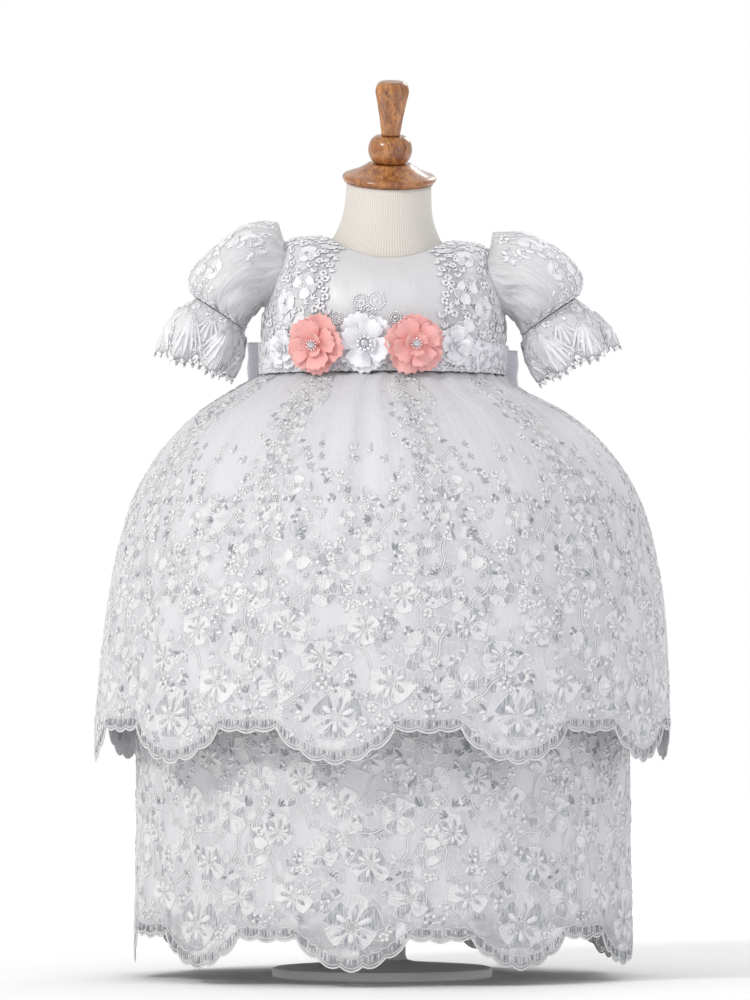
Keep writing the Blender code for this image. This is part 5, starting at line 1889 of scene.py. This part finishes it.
class GOWN_OT_dress_form(bpy.types.Operator):
    """Limbless form in ribbed jersey"""

    bl_idname = "gown.dress_form"
    bl_label = "Dress form"

    def execute(self, context):
        ribs = int(TURN * NECK_TOP_RADIUS / sizes().rib_spacing)
        angle = full_turn(ribs)
        rings = [self.ring(angle, w, d, 0.0, h, 0.0) for w, d, h in FORM_BELOW]
        for row in np.arange(0.0, 7.01, 1.0):
            ease = -smooth_rows([[ring.ease + CLOTH] for ring in TORSO], row)[..., 0]
            rings.append(torso_moved(angle, np.full(angle.shape, row), np.full(angle.shape, ease)))
        slope = NECK_TOP_RADIUS * math.tan(NECK_TILT)
        top = (NECK_TOP_RADIUS, NECK_TOP_RADIUS, NECK_TOP_Y, NECK_TOP_HEIGHT, slope)
        for width, depth, centre_y, middle, slope in (*NECK, top):
            rings.append(leaned(self.ring(angle, width, depth, centre_y, middle, slope)))
        rows = np.concatenate([np.linspace(0, 12, 32)[:-1], np.linspace(12, 15, 14)])
        grid = smooth_rows(np.array(rings).reshape(len(rings), -1), rows).reshape(len(rows), -1, 3)
        middle = grid.mean(axis=1, keepdims=True)
        grid = grid - unit(grid - middle) * 0.0003
        count, around = grid.shape[:2]
        points = np.concatenate([grid.reshape(-1, 3), middle[0], middle[-1]])
        faces = grid_faces(count, around, True).tolist()
        bottom, end = count * around, count * around + 1
        last = (count - 1) * around
        for i in range(around):
            j = (i + 1) % around
            faces.append((bottom, j, i))
            faces.append((end, last + i, last + j))
        flat = points_of(np.tile(angle * 0.036, count), np.repeat(grid[:, 0, 2], around))
        mesh = mesh_of("jersey_form", points, faces, uv=np.concatenate([flat, np.zeros((2, 2))]))
        close_stitches(mesh, around, np.array([TURN * 0.036, 0.0]))
        piece = linked(mesh, ribbed_jersey(), "jersey_cream", "dress_form")
        select_only(piece)
        bpy.ops.object.mode_set(mode="EDIT")
        bpy.ops.mesh.select_all(action="SELECT")
        bpy.ops.mesh.normals_make_consistent(inside=False)
        bpy.ops.object.mode_set(mode="OBJECT")
        return {"FINISHED"}

    def ring(self, angle, half_width, half_depth, centre_y, height, slope):
        toward = np.cos(angle)
        across = half_width * np.sin(angle)
        return points_of(across, centre_y - half_depth * toward, height - slope * toward)


def turned_piece(name, profile, steps, matrix, finish, slot_name, node, crisp=40):
    """Spins a profile round the axis, closes its ends and seats it."""
    mesh = bpy.data.meshes.new(name)
    points = [(radius, 0, height) for radius, height in profile]
    mesh.from_pydata(points, [(k, k + 1) for k in range(len(points) - 1)], [])
    piece = linked(mesh, finish, slot_name, node)
    select_only(piece)
    bpy.ops.object.mode_set(mode="EDIT")
    bpy.ops.mesh.select_all(action="SELECT")
    bpy.ops.mesh.spin(steps=steps, angle=TURN, center=(0, 0, 0), axis=(0, 0, 1))
    bpy.ops.mesh.select_all(action="SELECT")
    bpy.ops.mesh.remove_doubles(threshold=1e-6)
    bpy.ops.mesh.normals_make_consistent(inside=False)
    bpy.ops.object.mode_set(mode="OBJECT")
    mesh.transform(matrix)
    select_only(piece)
    bpy.ops.object.shade_smooth_by_angle(angle=math.radians(crisp))
    return piece


def rounded(profile, count=6):
    """A smooth line through the profile's points, which keeps its first and last straight."""
    points = np.array(profile)
    at = np.linspace(1, len(points) - 2, count * (len(points) - 3) + 1)
    curve = smooth_rows(points, at)
    return [tuple(points[0]), *[tuple(p) for p in curve], tuple(points[-1])]


class GOWN_OT_neck_cap(bpy.types.Operator):
    """Turned wooden disc, ball and eight-sided finial on the neck"""

    bl_idname = "gown.neck_cap"
    bl_label = "Neck cap"

    def execute(self, context):
        lean = Matrix.Rotation(SIDE_LEAN, 4, "Y") @ Matrix.Rotation(NECK_TILT, 4, "X")
        seat = leaned(np.array([0.0, NECK_TOP_Y, NECK_TOP_HEIGHT]))
        seat = seat + np.array(lean)[:3, 2] * SEAM
        matrix = Matrix.Translation(Vector(seat)) @ lean
        disc = [
            (0.0, 0.0), (0.0335, 0.0), (0.0368, 0.0008), (0.0383, 0.0026), (0.0384, 0.0042),
            (0.0372, 0.0058), (0.0340, 0.0070), (0.0305, 0.0083), (0.0262, 0.0101),
            (0.0222, 0.0124), (0.0188, 0.0145), (0.0160, 0.0157), (0.0, 0.0160),
        ]
        ball = [
            (0.0, 0.0162), (0.0120, 0.0163), (0.0150, 0.0180), (0.0170, 0.0215), (0.0180, 0.0258),
            (0.0177, 0.0302), (0.0162, 0.0343), (0.0135, 0.0372), (0.0105, 0.0384), (0.0, 0.0386),
        ]
        finial = [
            (0.0, 0.0388), (0.0082, 0.0388), (0.0086, 0.0420), (0.0103, 0.0530),
            (0.0128, 0.0655), (0.0149, 0.0752), (0.0146, 0.0776), (0.0130, 0.0812),
            (0.0095, 0.0832), (0.0, 0.0840),
        ]
        rounds = (("disc", rounded(disc, 4), 72), ("ball", rounded(ball, 5), 56))
        for name, profile, steps in rounds:
            turned_piece(
                f"cap_{name}", profile, steps, matrix, varnished_wood(), "turned_wood",
                f"neck_cap_{name}",
            )
        piece = turned_piece(
            "cap_finial", finial, 8, Matrix.Rotation(math.pi / 8, 4, "Z"), varnished_wood(),
            "turned_wood", "neck_cap_finial", 25,
        )
        select_only(piece)
        edges = piece.modifiers.new("worn edges", "BEVEL")
        edges.width = 0.0006
        edges.segments = 3
        edges.limit_method = "ANGLE"
        bpy.ops.object.modifier_apply(modifier="worn edges")
        piece.data.transform(matrix)
        return {"FINISHED"}


class GOWN_OT_stand(bpy.types.Operator):
    """Weighted plate and pole below the form"""

    bl_idname = "gown.stand"
    bl_label = "Stand"

    def execute(self, context):
        base = [
            (0.0, 0.0), (0.0890, 0.0), (0.0900, 0.0010), (0.0900, 0.0058), (0.0892, 0.0072),
            (0.0870, 0.0080), (0.0280, 0.0120), (0.0205, 0.0140), (0.0190, 0.0175),
            (0.0190, 0.0242), (0.0184, 0.0256), (0.0170, 0.0260), (0.0, 0.0260),
        ]
        pole = [
            (0.0, 0.0263), (0.0104, 0.0263), (0.0110, 0.0269), (0.0110, 0.2991),
            (0.0104, 0.2997), (0.0, 0.2997),
        ]
        for name, profile, steps, node in (
            ("stand_plate", base, 72, "stand_base"), ("stand_tube", pole, 40, "stand_pole"),
        ):
            turned_piece(
                name, profile, steps, Matrix.Identity(4), painted_stand(), "stand_white", node, 30
            )
        return {"FINISHED"}


# Stage


def area_light(name, place, aim, size, power, colour):
    light = bpy.data.lights.new(name, "AREA")
    light.shape = "DISK"
    light.size = size
    light.energy = power
    light.color = colour
    lamp = in_scene(name, light)
    lamp.location = place
    lamp.rotation_euler = (Vector(aim) - Vector(place)).to_track_quat("-Z", "Y").to_euler()


class GOWN_OT_stage(bpy.types.Operator):
    """Pale floor, soft studio light and the camera"""

    bl_idname = "gown.stage"
    bl_label = "Stage"

    def execute(self, context):
        bpy.ops.object.select_all(action="DESELECT")
        bpy.ops.mesh.primitive_circle_add(vertices=96, radius=6.0, fill_type="TRIFAN")
        floor = bpy.context.object
        floor.name = "floor"
        paper = Finish("pale_floor", 0.9, Emission_Strength=0.3)
        noise = paper.noise(paper.place, 3.0, 2.0)
        paper.colour(paper.mix(noise, (0.97, 0.97, 0.97), (0.99, 0.99, 0.99)))
        away = paper.node("ShaderNodeVectorMath")
        away.operation = "LENGTH"
        paper.link(paper.place, away.inputs[0])
        far = paper.spread(away.outputs["Value"], 0.8, 2.0)
        paper.link(far, paper.shader.inputs["Emission Color"])
        floor.data.materials.append(paper.material)
        world = bpy.data.worlds.new("studio")
        world.use_nodes = True
        sky = NodeWork(world.node_tree)
        soft = sky.tree.nodes["Background"]
        soft.inputs["Color"].default_value = (1.0, 1.0, 1.0, 1)
        soft.inputs["Strength"].default_value = 0.78
        seen = sky.node("ShaderNodeBackground", Color=(1.0, 1.0, 1.0, 1))
        either = sky.node("ShaderNodeMixShader")
        sky.link(sky.node("ShaderNodeLightPath").outputs["Is Camera Ray"], either.inputs["Fac"])
        sky.link(soft.outputs[0], either.inputs[1])
        sky.link(seen.outputs[0], either.inputs[2])
        sky.link(either.outputs[0], sky.tree.nodes["World Output"].inputs["Surface"])
        context.scene.world = world
        area_light("key", (-2.3, -2.3, 2.5), (0, 0, 0.35), 0.7, 56, (1.0, 0.975, 0.94))
        area_light("fill", (2.4, -2.2, 1.0), (0, 0, 0.35), 1.4, 7, (0.80, 0.83, 1.0))
        area_light("back", (1.2, 2.4, 2.2), (0, 0, 0.4), 1.2, 16, (0.97, 0.98, 1.0))
        camera = bpy.data.cameras.new("camera")
        camera.sensor_width = 36
        camera.lens = 219.5
        camera.clip_end = 50
        holder = in_scene("camera", camera)
        elevation = math.radians(-1.5)
        aim = Vector((-0.006, 0, 0.390))
        back = Vector((0, -math.cos(elevation), math.sin(elevation)))
        holder.location = aim + back * 5.0
        holder.rotation_euler = (-back).to_track_quat("-Z", "Y").to_euler()
        context.scene.camera = holder
        context.scene.view_settings.view_transform = "Standard"
        return {"FINISHED"}


OPERATORS = (
    GOWN_OT_stand, GOWN_OT_dress_form, GOWN_OT_neck_cap, GOWN_OT_skirt_lining, GOWN_OT_skirt_tiers,
    GOWN_OT_bodice, GOWN_OT_sleeves, GOWN_OT_sash_and_bow, GOWN_OT_sash_flowers,
    GOWN_OT_bead_sprays, GOWN_OT_stage,
)


class GOWN_PT_panel(bpy.types.Panel):
    """The gown's sizes and colours, and its steps in order"""

    bl_label = "Christening gown"
    bl_idname = "GOWN_PT_panel"
    bl_space_type = "VIEW_3D"
    bl_region_type = "UI"
    bl_category = "Gown"

    def draw(self, context):
        for group in (context.scene.gown_sizes, context.scene.gown_colours):
            for name in group.bl_rna.properties.keys():
                if name not in ("rna_type", "name"):
                    self.layout.prop(group, name)
        for operator in OPERATORS:
            self.layout.operator(operator.bl_idname)


CLASSES = (GownSizes, GownColours, *OPERATORS, GOWN_PT_panel)


def register():
    for each in CLASSES:
        bpy.utils.register_class(each)
    bpy.types.Scene.gown_sizes = bpy.props.PointerProperty(type=GownSizes)
    bpy.types.Scene.gown_colours = bpy.props.PointerProperty(type=GownColours)


def unregister():
    del bpy.types.Scene.gown_colours
    del bpy.types.Scene.gown_sizes
    for each in reversed(CLASSES):
        bpy.utils.unregister_class(each)


def main():
    register()
    for operator in OPERATORS:
        group, name = operator.bl_idname.split(".")
        getattr(getattr(bpy.ops, group), name)()


if __name__ == "__main__":
    main()
